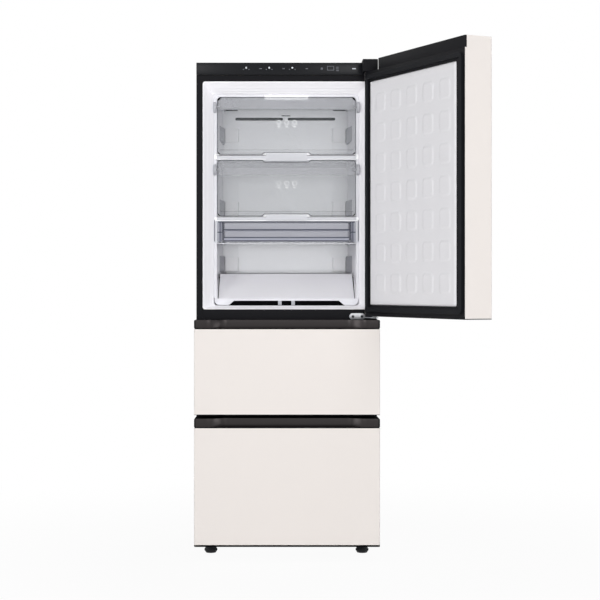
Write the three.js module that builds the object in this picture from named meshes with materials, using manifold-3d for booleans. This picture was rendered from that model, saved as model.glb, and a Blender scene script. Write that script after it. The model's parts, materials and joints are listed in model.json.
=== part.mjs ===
// A free-standing kimchi refrigerator with three rooms: an upper room behind a swing door that is
// hinged on the right and stands open, and a middle and a bottom room that pull out as drawers.
//
// Sizes are in millimetres. While a piece is drawn, x runs to the right from the middle of the
// cabinet, y runs back from the plane of the closed fronts, and z runs up from the floor.
import * as THREE from 'three';
import { mergeVertices } from 'three/addons/utils/BufferGeometryUtils.js';
import Module from 'manifold-3d';

const wasm = await Module();
wasm.setup();

// ---------------------------------------------------------------- driving dimensions
const FRONT_HALF = 333; // half the width of the door and of the drawer fronts
const CASE_HALF = 330;
const CASE_TOP = 1799;
const CASE_BACK = 727;
const DEPTH = 737;
const UNDERSIDE = 48.5; // lowest edge of the bottom drawer front, and of the case
const FRONT_T = 105; // thickness of the door and of the drawer fronts
const CASE_FRONT = 113.5; // the cabinet's front face, past the gasket
const FIT = 0.3; // gap between pieces that touch
const SKIN = 1; // coated sheet of the case, the door and the drawer fronts
const LINER_T = 2.5; // thermoformed wall of the rooms
const FLANGE = 6; // depth of the black front frame

// The part's origin is on the floor, under the middle of its whole box with the door open.
const ORIGIN = [166, 104];

const UPPER = { half: 307, z0: 897.5, z1: 1730.7 };
const MOUTH_Y = 168; // where the upper room's sloped mouth ends
const UPPER_REAR = 668;
const WALL_FRONT = 268; // half the width between the upper room's walls at MOUTH_Y
const WALL_REAR = 246; // and at UPPER_REAR
const CEILING = 1696;
const UPPER_FLOOR = 912;
const LOWER_HALF = 293; // half the width of both drawer rooms
const LOWER_REAR = 640;

const PIVOT = [318, 72.5]; // the door's hinge line
const DOOR_OPEN = 115.6; // degrees
const DOOR_Z0 = 873.5;
const DOOR_TOP = 1797;
const NOTCH_X = 236; // the door's top cap stops here, short of the hinge
const CAP_Z = 1757.5; // underside of the top cap's high part
const SKIN_Z0 = 884.5;
const DOOR_PANEL = { x0: -282, x1: 293, z0: 915, z1: 1719 };

const DRAWERS = [
  { name: 'middle', z0: 522.6, z1: 828, top: 861.3, lip: 2, room: [548, 826], railZ: 690, step: null },
  {
    name: 'bottom', z0: 55.7, z1: 473.5, top: 507.9, lip: 7.2, room: [110, 478], railZ: 372,
    step: { y: 470, z: 292 },
  },
];

const GUARD_Y = 165.75; // middle of the guards' thickness, and their pivot line
const SHELVES = [
  { name: 'shelf_1', z0: 1449, z1: 1466, bulge: [1442.5, 1473] },
  { name: 'shelf_2', z0: 1223, z1: 1239, bulge: [1223, 1246] },
];
const BULGE_HALF = 78; // half the width of a shelf trim's grip, without its slopes
const BULGE_SLOPE = 9;

const FEET = { x: 279, y: 173, r: 24 };
const ROLLER = { x: 268, y: 690, r: 20, w: 22, axle: 4 };
const MACHINE = { y: 500, z: 262 }; // the machine space is behind y and below z
const COIL = { y: LOWER_REAR + 7, z: 580 }; // the cooling tube's plane, and its lowest run

// ---------------------------------------------------------------- materials
const paint = (color, roughness, metalness = 0, opacity = 1) =>
  new THREE.MeshStandardMaterial({
    color, roughness, metalness, opacity, transparent: opacity < 1,
  });
const BEIGE = paint('#ece7e3', 0.45);
const BLACK = paint('#1f2226', 0.4);
const GLOSS_BLACK = paint('#26282c', 0.2);
const BRONZE = paint('#42403d', 0.35, 0.8);
const WHITE = paint('#e5e4ea', 0.35);
const FOAM = paint('#d9cfa8', 0.9);
const STEEL = paint('#c9ccd0', 0.3, 1);
const COATED = paint('#8b8e92', 0.5, 0.4);
const GASKET = paint('#15171a', 0.7);
const CLEAR = paint('#c6cbd0', 0.15, 0, 0.5);
const SMOKE = paint('#9aa0ae', 0.15, 0, 0.5);
const GLASS = paint('#e6eef0', 0.05, 0, 0.35);
const LAMP = paint('#ffffff', 0.3);
const COPPER = paint('#b06a3c', 0.35, 1);
const FINS = paint('#b9bcc0', 0.4, 1);
const PAN = paint('#3a3c40', 0.6);
const NYLON = paint('#111315', 0.5);

// ---------------------------------------------------------------- making solids
/** The solid inside a geometry. Its faces are turned outwards if they point in. */
function solid(geometry) {
  const bare = geometry.index ? geometry.toNonIndexed() : geometry.clone();
  bare.deleteAttribute('normal');
  bare.deleteAttribute('uv');
  const merged = mergeVertices(bare, 1e-4);
  const triVerts = new Uint32Array(merged.index.array);
  const vertProperties = merged.attributes.position.array;
  const made = new wasm.Manifold(new wasm.Mesh({ numProp: 3, vertProperties, triVerts }));
  if (made.volume() > 0) return made;
  for (let i = 0; i < triVerts.length; i += 3) {
    [triVerts[i + 1], triVerts[i + 2]] = [triVerts[i + 2], triVerts[i + 1]];
  }
  return new wasm.Manifold(new wasm.Mesh({ numProp: 3, vertProperties, triVerts }));
}

const join = (first, ...rest) => rest.reduce((whole, piece) => whole.add(piece), first);
const cut = (first, ...rest) => rest.reduce((whole, piece) => whole.subtract(piece), first);

/** The points of a closed outline. A corner [u, v, r] is rounded to the radius r. */
function corners(points, steps = 3) {
  const out = [];
  points.forEach(([u, v, r = 0], i) => {
    const here = new THREE.Vector2(u, v);
    if (r === 0) {
      out.push(here);
      return;
    }
    const before = points[(i + points.length - 1) % points.length];
    const after = points[(i + 1) % points.length];
    const back = new THREE.Vector2(before[0], before[1]).sub(here).normalize();
    const on = new THREE.Vector2(after[0], after[1]).sub(here).normalize();
    const half = Math.acos(THREE.MathUtils.clamp(back.dot(on), -1, 1)) / 2;
    const middle = back.clone().add(on).normalize().multiplyScalar(r / Math.sin(half)).add(here);
    const start = back.multiplyScalar(r / Math.tan(half)).add(here).sub(middle).angle();
    const end = on.multiplyScalar(r / Math.tan(half)).add(here).sub(middle).angle();
    const turn = Math.atan2(Math.sin(end - start), Math.cos(end - start));
    for (let k = 0; k <= steps; k += 1) {
      const angle = start + (turn * k) / steps;
      out.push(new THREE.Vector2(middle.x + r * Math.cos(angle), middle.y + r * Math.sin(angle)));
    }
  });
  return out;
}

const rectangle = (u0, u1, v0, v1, r = 0) => [[u0, v0, r], [u1, v0, r], [u1, v1, r], [u0, v1, r]];

/** An outline with holes, pulled straight by depth along its own third axis. */
function pulled(points, depth, holes, steps) {
  const shape = new THREE.Shape(corners(points, steps));
  shape.holes = holes.map((hole) => new THREE.Path(corners(hole, steps)));
  return new THREE.ExtrudeGeometry(shape, { depth, bevelEnabled: false });
}

/** An outline of [x, y] points, pulled up from z0 to z1. */
function upright(points, z0, z1, holes = [], steps = 3) {
  return solid(pulled(points, z1 - z0, holes, steps).translate(0, 0, z0));
}

/** An outline of [y, z] points, pulled along x. */
function across(points, x0, x1, holes = [], steps = 3) {
  const turn = new THREE.Matrix4().set(0, 0, 1, x0, 1, 0, 0, 0, 0, 1, 0, 0, 0, 0, 0, 1);
  return solid(pulled(points, x1 - x0, holes, steps).applyMatrix4(turn));
}

/** An outline of [x, z] points, pulled back from y0 to y1. */
function inward(points, y0, y1, holes = [], steps = 3) {
  const turn = new THREE.Matrix4().set(1, 0, 0, 0, 0, 0, -1, y1, 0, 1, 0, 0, 0, 0, 0, 1);
  return solid(pulled(points, y1 - y0, holes, steps).applyMatrix4(turn));
}

const block = (x0, x1, y0, y1, z0, z1) => upright(rectangle(x0, x1, y0, y1), z0, z1);

/** A round bar of radius r whose axis runs along one of x, y or z through the point at. */
function bar(axis, at, r, length, sides = 20) {
  const geometry = new THREE.CylinderGeometry(r, r, length, sides);
  if (axis === 'x') geometry.rotateZ(Math.PI / 2);
  if (axis === 'z') geometry.rotateX(Math.PI / 2);
  return solid(geometry.translate(...at));
}

/** A turned piece on an upright axis through (x, y). The profile is [radius, z] points. */
function turned(profile, x, y, sides = 28) {
  const points = profile.map(([r, z]) => new THREE.Vector2(r, z));
  const geometry = new THREE.LatheGeometry(points, sides);
  return solid(geometry.rotateX(Math.PI / 2).translate(x, y, 0));
}

/** A skin stretched over rings of equal point count, with the first and last ring closed. */
function lofted(rings) {
  const count = rings[0].length;
  const index = [];
  for (let r = 0; r < rings.length - 1; r += 1) {
    for (let i = 0; i < count; i += 1) {
      const a = r * count + i;
      const b = r * count + ((i + 1) % count);
      index.push(a, b, b + count, a, b + count, a + count);
    }
  }
  const last = (rings.length - 1) * count;
  for (let i = 1; i < count - 1; i += 1) {
    index.push(0, i + 1, i, last, last + i, last + i + 1);
  }
  const geometry = new THREE.BufferGeometry();
  const places = rings.flat().flatMap((p) => [p.x, p.y, p.z]);
  geometry.setAttribute('position', new THREE.Float32BufferAttribute(places, 3));
  geometry.setIndex(index);
  return solid(geometry);
}

/** A rounded rectangle that stands across y, as a ring of points. */
const standing = (half, z0, z1, r, y) =>
  corners(rectangle(-half, half, z0, z1, r)).map((p) => new THREE.Vector3(p.x, y, p.y));

/** A rounded rectangle that lies at the height z, as a ring of points. */
const lying = (x0, x1, y0, y1, r, z) =>
  corners(rectangle(x0, x1, y0, y1, r)).map((p) => new THREE.Vector3(p.x, p.y, z));

// ---------------------------------------------------------------- placing nodes
const fridge = new THREE.Group();
fridge.position.set(-ORIGIN[0], -ORIGIN[1], 0);
const swung = new THREE.Group();
swung.position.set(PIVOT[0], PIVOT[1], 0);
swung.rotation.z = THREE.MathUtils.degToRad(DOOR_OPEN);
fridge.add(swung);

/** Adds one named piece to the cabinet's group. */
function place(name, made, material, group = fridge) {
  const mesh = made.getMesh();
  const geometry = new THREE.BufferGeometry();
  geometry.setAttribute('position', new THREE.Float32BufferAttribute(mesh.vertProperties, 3));
  geometry.setIndex([...mesh.triVerts]);
  const node = new THREE.Mesh(geometry, material);
  node.name = name;
  group.add(node);
  return node;
}

/** Adds a piece of the door, which is drawn shut and swings with the door's group. */
function placeOnDoor(name, made, material) {
  place(name, made.translate([-PIVOT[0], -PIVOT[1], 0]), material, swung);
}

// ---------------------------------------------------------------- the cabinet's shell
/** The upper room's half width at the depth y, between its tapered walls. */
const wallAt = (y) => THREE.MathUtils.mapLinear(y, MOUTH_Y, UPPER_REAR, WALL_FRONT, WALL_REAR);

/** The rings of the upper room from its mouth to its rear wall, grown by out on every side. */
function upperRings(out) {
  const rearY = UPPER_REAR + out;
  return [
    standing(UPPER.half - 3 + out, UPPER.z0 + 3 - out, UPPER.z1 - 3 + out, 9, CASE_FRONT + 0.5),
    standing(WALL_FRONT + out, UPPER_FLOOR - out, CEILING + out, 12, MOUTH_Y),
    standing(WALL_REAR + 1 + out, UPPER_FLOOR - out, CEILING - 5 + out, 16, rearY - 14),
    standing(WALL_REAR - 11 + out, UPPER_FLOOR + 11 - out, CEILING - 17 + out, 16, rearY),
  ];
}

/** A ledge on both upper walls, with its top at z, that a shelf rests on. */
function ledge(side, z) {
  const [y0, y1] = [215, 590];
  const points = [
    [side * (wallAt(y0) + 1), y0], [side * (wallAt(y1) + 1), y1],
    [side * (wallAt(y1) - 9), y1, 4], [side * (wallAt(y0) - 9), y0, 4],
  ];
  return upright(points, z - 8, z);
}

/** The bearing of a guard: a boss on the wall with a blind hole for the guard's pin. */
function guardBearing(side, z) {
  const inner = 259.5;
  const length = wallAt(GUARD_Y) + 1.5 - inner;
  const boss = bar('x', [side * (inner + length / 2), GUARD_Y + 4, z], 17, length, 16);
  const hole = bar('x', [side * inner, GUARD_Y, z], 4, 10, 12);
  return [boss, hole];
}

function upperLiner() {
  const inner = upperRings(0);
  const outer = upperRings(LINER_T);
  let shell = lofted([...inner.slice().reverse(), ...outer]);
  const holes = [];
  for (const side of [-1, 1]) {
    for (const shelf of SHELVES) shell = shell.add(ledge(side, shelf.z0 + 2.7));
    for (const z of [GUARDS[0].pivotZ, GUARDS[1].pivotZ]) {
      const [boss, hole] = guardBearing(side, z);
      shell = shell.add(boss);
      holes.push(hole);
    }
  }
  return cut(shell, ...holes);
}

/** The side outline [y, z] of a drawer room, stepped where the machine space is behind it. */
function roomOutline({ room, step }, out) {
  const [z0, z1] = room;
  const front = CASE_FRONT + 0.5;
  const rear = LOWER_REAR + out;
  const r = 14;
  if (!step) {
    return [[front, z0 - out], [rear, z0 - out, r], [rear, z1 + out, r], [front, z1 + out]];
  }
  return [
    [front, z0 - out], [step.y + out, z0 - out, r], [step.y + out, step.z - out, r],
    [rear, step.z - out, r], [rear, z1 + out, r], [front, z1 + out],
  ];
}

/** The space of a drawer room, grown by out. */
const roomSpace = (drawer, out) => across(roomOutline(drawer, out), -LOWER_HALF - out, LOWER_HALF + out);

function roomLiner(drawer) {
  const { room } = drawer;
  const space = roomSpace(drawer, 0);
  const mouth = inward(rectangle(-LOWER_HALF, LOWER_HALF, room[0], room[1]), 100, CASE_FRONT + 1);
  return cut(roomSpace(drawer, LINER_T), space, mouth);
}

function buildShell() {
  const inside = CASE_HALF - SKIN;
  const wrap = [
    [-CASE_HALF, UNDERSIDE + 2], [-CASE_HALF, CASE_TOP, 5], [CASE_HALF, CASE_TOP, 5],
    [CASE_HALF, UNDERSIDE + 2], [inside, UNDERSIDE + 2], [inside, CASE_TOP - SKIN, 4],
    [-inside, CASE_TOP - SKIN, 4], [-inside, UNDERSIDE + 2],
  ];
  place('outer_case', inward(wrap, CASE_FRONT + FLANGE + FIT, CASE_BACK), BEIGE);

  const edge = LINER_T + 1;
  const rooms = DRAWERS.map(({ room }) =>
    rectangle(-LOWER_HALF - edge, LOWER_HALF + edge, room[0] - edge, room[1] + edge, 2));
  place(
    'front_frame',
    inward(
      rectangle(-CASE_HALF, CASE_HALF, UNDERSIDE + 3, 1753.5),
      CASE_FRONT, CASE_FRONT + FLANGE, [rectangle(-UPPER.half, UPPER.half, UPPER.z0, UPPER.z1, 8), ...rooms],
    ),
    BLACK,
  );

  // The control panel stands proud of the frame and leans back a little towards its top.
  const face = CASE_FRONT - 4.5;
  const rear = CASE_FRONT + FLANGE;
  const panel = [[face, 1754, 1.5], [face + 1.2, CASE_TOP, 2], [rear, CASE_TOP], [rear, 1754]];
  place('control_panel', across(panel, -CASE_HALF, CASE_HALF), GLOSS_BLACK);

  const back = CASE_BACK + FIT;
  const bead = (x) => inward(rectangle(x - 9, x + 9, 330, 1740, 8), back + 0.7, CASE_BACK + 4);
  const sheet = inward(rectangle(-326, 326, MACHINE.z + 4, CASE_TOP - 3, 4), back, back + 1);
  place('back_panel', join(sheet, bead(-160), bead(0), bead(160)), COATED);

  const foamFront = CASE_FRONT + FLANGE + FIT;
  const foamHalf = inside - FIT;
  const foamTop = CASE_TOP - SKIN - 1;
  const bulk = inward(
    [[-foamHalf, 64.4], [foamHalf, 64.4], [foamHalf, foamTop, 5], [-foamHalf, foamTop, 5]],
    foamFront, CASE_BACK - FIT,
  );
  const machine = across(
    [[MACHINE.y, 40], [MACHINE.y, 236], [MACHINE.y + 44, MACHINE.z], [760, MACHINE.z], [760, 40]],
    -400, 400,
  );
  const gap = LINER_T + 0.5;
  const spaces = DRAWERS.map((drawer) => roomSpace(drawer, gap));
  const coilBed = block(-213, 213, LOWER_REAR, COIL.y + 5, COIL.z - 10, COIL.z + 180);
  place('cabinet_foam', cut(bulk, lofted(upperRings(gap)), ...spaces, coilBed, machine), FOAM);

  place('upper_liner', upperLiner(), WHITE);
  for (const drawer of DRAWERS) place(`${drawer.name}_liner`, roomLiner(drawer), WHITE);
}

/** The base pan: a folded tray with the rear rollers' forks and their axles. */
function buildBase() {
  const half = CASE_HALF - SKIN - FIT;
  const [z, t] = [UNDERSIDE + 1.5, 2];
  const section = [
    [-half, z], [half, z], [half, z + 14], [half - t, z + 14], [half - t, z + t],
    [-half + t, z + t], [-half + t, z + 14], [-half, z + 14],
  ];
  let pan = inward(section, CASE_FRONT + FLANGE + FIT, CASE_BACK - FIT);
  for (const side of [-1, 1]) {
    pan = pan.subtract(bar('z', [side * FEET.x, FEET.y, z], 5.6, 20));
    for (const offset of [-1, 1]) {
      const x = side * ROLLER.x + offset * (ROLLER.w / 2 + 2.5);
      const fork = [
        [ROLLER.y - 22, z + 1], [ROLLER.y - 8, 12, 6], [ROLLER.y + 8, 12, 6], [ROLLER.y + 22, z + 1],
      ];
      pan = pan.add(across(fork, x - 1.5, x + 1.5));
    }
    pan = pan.add(bar('x', [side * ROLLER.x, ROLLER.y, ROLLER.r], ROLLER.axle, ROLLER.w + 8));
  }
  place('base_pan', pan, COATED);

  for (const [side, name] of [[-1, 'left'], [1, 'right']]) {
    const x = side * ROLLER.x;
    const hub = (at, r, length, sides) => bar('x', [x + at, ROLLER.y, ROLLER.r], r, length, sides);
    const tyre = hub(0, ROLLER.r, ROLLER.w, 24);
    const groove = (at) => cut(hub(at, 15, 4, 20), hub(at, 8, 5, 12));
    const bore = hub(0, ROLLER.axle + 0.3, ROLLER.w + 4, 20);
    const wheel = cut(tyre, groove(-ROLLER.w / 2), groove(ROLLER.w / 2), bore);
    place(`rear_${name}_roller`, wheel, NYLON);
  }

  // A levelling foot: a knurled skirt under a domed shoulder, on a threaded stud.
  for (const [side, name] of [[-1, 'left'], [1, 'right']]) {
    const profile = [
      [0, 0], [18.8, 0], [22.5, 4], [FEET.r, 8], [FEET.r, 14], [19.5, 20], [9, 22], [5, 25], [5, 62],
      [0, 62],
    ];
    let foot = turned(profile, side * FEET.x, FEET.y, 20);
    const grips = 10;
    for (let k = 0; k < grips; k += 1) {
      const angle = (2 * Math.PI * k) / grips;
      const at = [side * FEET.x + 25.4 * Math.cos(angle), FEET.y + 25.4 * Math.sin(angle), 11];
      foot = foot.subtract(bar('z', at, 2.6, 6, 4));
    }
    place(`front_${name}_foot`, foot, NYLON);
  }
}

// ---------------------------------------------------------------- hinges
function buildHinges() {
  const [px, py] = PIVOT;
  const plateZ = CASE_TOP + FIT;
  const bracket = join(
    upright(
      [
        [282, 196, 4], [282, 118, 4], [px - 12, py - 6, 8], [px + 9, py - 9, 8], [px + 9, 118],
        [322, 196, 4],
      ],
      plateZ, plateZ + 2.5,
    ),
    bar('z', [px, py, (plateZ + 1741) / 2], 5, plateZ - 1739, 24),
  );
  place('top_hinge', bracket, STEEL);

  // The cover sits on the case and drops in front of it to hide the bracket's arm.
  const wall = 2.2;
  const [x0, x1, top] = [275, CASE_HALF - FIT, plateZ + 5.4];
  const side = (t) => [
    [54 + t, 1759 - t], [54 + t, top - t, 5], [205 - t, top - t, 4], [205 - t, plateZ - t],
    [107.8 - t, plateZ - t], [107.8 - t, 1759 - t],
  ];
  const cover = across(side(0), x0, x1);
  const hollow = across(
    [[54 + wall, 1750], [54 + wall, top - wall], [205 - wall, top - wall], [205 - wall, plateZ - 1],
      [107.8 - wall, plateZ - 1], [107.8 - wall, 1750]],
    x0 + wall, x1 - wall,
  );
  place('top_hinge_cover', cut(cover, hollow), BLACK);

  // The lower hinge: a stadium plate on the frame, a flat arm under the door and its pin.
  const face = CASE_FRONT - FIT;
  const plate = inward(rectangle(229, 287, 860, 883.5, 11.7), face - 3, face, [], 4);
  const arm = upright(
    [
      [281.5, face], [281.5, face - 9, 5], [px - 13, py - 13, 11], [px + 14, py - 14, 12],
      [px + 14, py + 14, 12], [px - 20, face - 2, 8], [px - 24, face],
    ],
    865.5, 870,
  );
  const screwZ = 871.5;
  const recess = (x, half, tall) =>
    block(x - half, x + half, face - 6, face - 3.9, screwZ - tall, screwZ + tall);
  const screw = (x) =>
    cut(bar('y', [x, face - 3.6, screwZ], 5.2, 2.4, 16), recess(x, 3.2, 0.6), recess(x, 0.6, 3.2));
  const pin = bar('z', [px, py, 881], 5, 23, 24);
  place('lower_hinge', join(plate, arm, pin, screw(242), screw(275)), STEEL);
}

// ---------------------------------------------------------------- the door
/** What fills a sheet front: a block whose two front edges follow the fold. */
function filling(z0, z1, rear) {
  const half = FRONT_HALF - SKIN - FIT;
  return upright([[-half, rear], [-half, SKIN + FIT, 3], [half, SKIN + FIT, 3], [half, rear]], z0, z1);
}

/** A sheet front: its face and both sides in one fold, seen from above, pulled up in z. */
function frontSkin(z0, z1) {
  const [w, d, t] = [FRONT_HALF, FRONT_T - 1, SKIN];
  return upright(
    [[-w, d], [-w, 0, 4], [w, 0, 4], [w, d], [w - t, d], [w - t, t, 3], [-w + t, t, 3], [-w + t, d]],
    z0, z1,
  );
}

function buildDoor() {
  const [px, py] = PIVOT;
  const half = FRONT_HALF - SKIN - FIT;
  const [panelY, frameY] = [FRONT_T - 9, FRONT_T - 9 - FIT];

  // The skin is notched at the hinge, and at the free edge for the top cap's tab.
  const notch = block(NOTCH_X, FRONT_HALF + 2, 8, FRONT_T + 2, CAP_Z, DOOR_TOP + 2);
  const [tabY, outer] = [FRONT_T - 7.2, FRONT_HALF + 2];
  const tabNotch = block(-outer, -half + 1, tabY - FIT, FRONT_T + 2, CAP_Z - FIT, DOOR_TOP + 2);
  placeOnDoor('door_skin', cut(frontSkin(SKIN_Z0, DOOR_TOP), notch, tabNotch), BEIGE);

  placeOnDoor('door_foam', filling(900.8, 1734.7, frameY), FOAM);

  const { x0, x1, z0, z1 } = DOOR_PANEL;
  const ring = inward(rectangle(-half, half, SKIN_Z0, CAP_Z - FIT, 3), panelY, FRONT_T, [
    rectangle(x0, x1, z0, z1, 8),
  ]);
  placeOnDoor('door_frame', ring, BLACK);
  placeOnDoor('door_liner', doorPanel(panelY), WHITE);

  const seat = FRONT_T + FIT;
  const gasket = inward(
    rectangle(-325, PIVOT[0] - 0.5, 888, 1746, 8), seat, CASE_FRONT - FIT,
    [rectangle(-306, PIVOT[0] - 19, 907, 1727, 5)],
  );
  placeOnDoor('door_gasket', gasket, GASKET);

  const capTop = DOOR_TOP - FIT;
  const topCap = join(
    upright(rectangle(-half, NOTCH_X - 1, SKIN + FIT, FRONT_T - FIT, 3), CAP_Z, capTop),
    block(-FRONT_HALF, -half + 5, tabY, FRONT_T - FIT, CAP_Z, capTop),
    filling(1735, CAP_Z, frameY),
  );
  placeOnDoor('door_top_cap', cut(topCap, bar('z', [px, py, 1760], 5.4, 42, 24)), BLACK);

  // The bottom cap has a pocket on its underside, near the free edge, to pull the door by.
  const pocket = across([[16, 870], [24, 892, 6], [58, 892, 10], [72, 870]], -305, -110);
  const bottomCap = join(
    upright(rectangle(-FRONT_HALF, FRONT_HALF, 0, FRONT_T, 4), DOOR_Z0, SKIN_Z0 - FIT),
    filling(SKIN_Z0 - 1, 900.5, frameY),
  );
  placeOnDoor('door_bottom_cap', cut(bottomCap, pocket, bar('z', [px, py, 882], 5.4, 26, 24)), BLACK);
}

/** The door's inner panel: a crowned edge round a field of raised rounded squares. */
function doorPanel(y) {
  const { x0, x1, z0, z1 } = DOOR_PANEL;
  const border = (inset, depth) =>
    corners(rectangle(x0 + inset, x1 - inset, z0 + inset, z1 - inset, 8))
      .map((p) => new THREE.Vector3(p.x, depth, p.y));
  const crown = [border(1.2, FRONT_T + 1.4), border(3.5, FRONT_T + 2)];
  return lofted([border(FIT, y), border(FIT, FRONT_T), ...crown]);
}

// ---------------------------------------------------------------- drawers
/** How far the grip's face is set back at x: flush at both ends, with a smooth curve into it. */
function gripDepth(x) {
  const [flush, deep, depth] = [276, 228, 36];
  const t = THREE.MathUtils.clamp((flush - Math.abs(x)) / (flush - deep), 0, 1);
  return (depth * (1 - Math.cos(Math.PI * t))) / 2;
}

/** The grip on top of a drawer front: a cap with a trough that the fingers reach into. */
function gripCap({ z1, top }) {
  const z0 = z1 + 4.7;
  const outline = [
    [-FRONT_HALF, z0], [FRONT_HALF, z0], [FRONT_HALF, top, 4], [-FRONT_HALF, top, 4],
  ];
  const body = join(
    inward(outline, 0, FRONT_T),
    filling(z1 - 6, z0 + 1, FRONT_T - 1),
    upright(rectangle(-236, 236, SKIN + FIT, 42, 6), z1 - 36, z0),
  );
  const edge = [[-290, -5]];
  const steps = 12;
  for (const side of [-1, 1]) {
    for (let k = 0; k <= steps; k += 1) {
      const x = side < 0 ? -276 + 4 * k : 228 + 4 * k;
      edge.push([x, gripDepth(x)]);
    }
  }
  edge.push([290, -5]);
  const scoop = upright(edge, z1, top + 5);
  const trough = upright(rectangle(-228, 228, SKIN + 3.5, 36, 5), z1 - 32, z1 + 10);
  return cut(body, scoop, trough);
}

/** The insulated core of a drawer front, with the bottom lip that the sheet stands on. */
function drawerCore({ z0, z1, lip }) {
  const bulk = join(
    filling(z0 - 1, z1 - 6 - FIT, FRONT_T - FIT),
    upright(rectangle(-FRONT_HALF, FRONT_HALF, 0, FRONT_T - FIT, 4), z0 - lip, z0 - FIT),
  );
  return bulk.subtract(block(-236.5, 236.5, 0, 42.5, z1 - 36.5, z1));
}

/** The carrier: a runner on each side, joined by a plate on the back of the drawer front. */
function drawerCarrier({ railZ }) {
  const [y0, y1] = [FRONT_T + FIT, 560];
  const runner = (s) => inward(
    [[s * 258, railZ + 20], [s * 273, railZ + 20], [s * 273, railZ + 4], [s * 287, railZ + 4],
      [s * 287, railZ - 4], [s * 273, railZ - 4], [s * 273, railZ - 18], [s * 270.5, railZ - 18],
      [s * 270.5, railZ + 17.5], [s * 258, railZ + 17.5]],
    y0, y1,
  );
  const plate = inward(rectangle(-273, 273, railZ - 34, railZ + 20, 6), y0, y0 + 2.5, [
    rectangle(-190, 190, railZ - 18, railZ + 6, 8),
  ]);
  return join(plate, runner(-1), runner(1));
}

/** A fixed rail: a channel on the room's wall that the runner's tongue slides in. */
function fixedRail({ railZ }, s) {
  const [open, wall, t] = [281.5, 291.8, 1.6];
  const section = [
    [s * open, railZ + 14], [s * wall, railZ + 14], [s * wall, railZ - 14], [s * open, railZ - 14],
    [s * open, railZ - 5], [s * (open + t), railZ - 5], [s * (open + t), railZ - 14 + t],
    [s * (wall - t), railZ - 14 + t], [s * (wall - t), railZ + 14 - t], [s * (open + t), railZ + 14 - t],
    [s * (open + t), railZ + 5], [s * open, railZ + 5],
  ];
  return inward(section, 128, 606);
}

/** The middle drawer's bin: a drafted tub with a rim that hangs on the runners. */
function drawerBin({ room, railZ }) {
  const [z0, z1, t] = [room[0] + 10, room[1] - 26, 3];
  const tub = (inset, z, grow) =>
    lying(-250 - grow + inset, 250 + grow - inset, 132 - grow + inset, 560 + grow - inset, 26, z);
  const shell = lofted([
    tub(t, z0 + t, 0), tub(t, z1, 4), tub(0, z1, 4), tub(0, z0, 0),
  ]);
  const rim = (s) => upright(
    [[s * 251, 140], [s * 268, 140, 5], [s * 268, 548, 5], [s * 251, 548]], railZ + 20.4, railZ + 23,
  );
  return join(shell, rim(-1), rim(1));
}

/** The bottom drawer's bin: a tub whose rear half is shallow, over the machine space. */
function steppedBin({ room, railZ, step }) {
  const [z0, z1, t] = [room[0] + 9, room[1] - 22, 3];
  const side = (inset, top) => [
    [130 + inset, top], [136 + inset, z0 + inset, 22], [step.y - 14 - inset, z0 + inset, 22],
    [step.y - 14 - inset, step.z + 12 + inset, 10], [572 - inset, step.z + 12 + inset, 16],
    [576 - inset, top],
  ];
  const outer = across(side(0, z1), -253, 253);
  const inner = across(side(t, z1 + 5), -253 + t, 253 - t);
  const rim = (s) => upright(
    [[s * 252, 140], [s * 268, 140, 5], [s * 268, 548, 5], [s * 252, 548]], railZ + 20.4, railZ + 23,
  );
  return join(cut(outer, inner), rim(-1), rim(1));
}

function buildDrawers() {
  for (const drawer of DRAWERS) {
    const { name, z0, z1, top } = drawer;
    place(`${name}_drawer_front`, frontSkin(z0, z1), BEIGE);
    place(`${name}_drawer_grip`, gripCap(drawer), BRONZE);
    place(`${name}_drawer_core`, drawerCore(drawer), BLACK);
    const [g0, g1] = [drawer.room[0] - 14, top - 10];
    const gasket = inward(
      rectangle(-318, 318, g0, g1, 8), FRONT_T + FIT, CASE_FRONT - FIT,
      [rectangle(-299, 299, g0 + 18, g1 - 18, 5)],
    );
    place(`${name}_drawer_gasket`, gasket, GASKET);
    place(`${name}_drawer_carrier`, drawerCarrier(drawer), STEEL);
    place(`${name}_drawer_bin`, drawer.step ? steppedBin(drawer) : drawerBin(drawer), CLEAR);
    place(`${name}_left_rail`, fixedRail(drawer, -1), STEEL);
    place(`${name}_right_rail`, fixedRail(drawer, 1), STEEL);
  }
}

// ---------------------------------------------------------------- inside the upper room
/** A shelf trim seen from the front: a bar that swells in the middle into a grip. */
function trimOutline({ z0, z1, bulge }, grow = 0) {
  const [a, b] = [BULGE_HALF + grow, BULGE_HALF + BULGE_SLOPE + grow];
  const [low, high] = [bulge[0] - grow, bulge[1] + grow];
  return [
    [-257, z0, 3], ...(low < z0 ? [[-b, z0], [-a, low], [a, low], [b, z0]] : []), [257, z0, 3],
    [257, z1, 3], [b, z1], [a, high], [-a, high], [-b, z1], [-257, z1, 3],
  ];
}

const GUARDS = [
  { name: 'upper_guard', z0: 1467.5, z1: 1682, pivotZ: 1641.5, above: null, below: SHELVES[0] },
  { name: 'lower_guard', z0: 1240.5, z1: 1447.5, pivotZ: 1412, above: SHELVES[0], below: SHELVES[1] },
];

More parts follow.
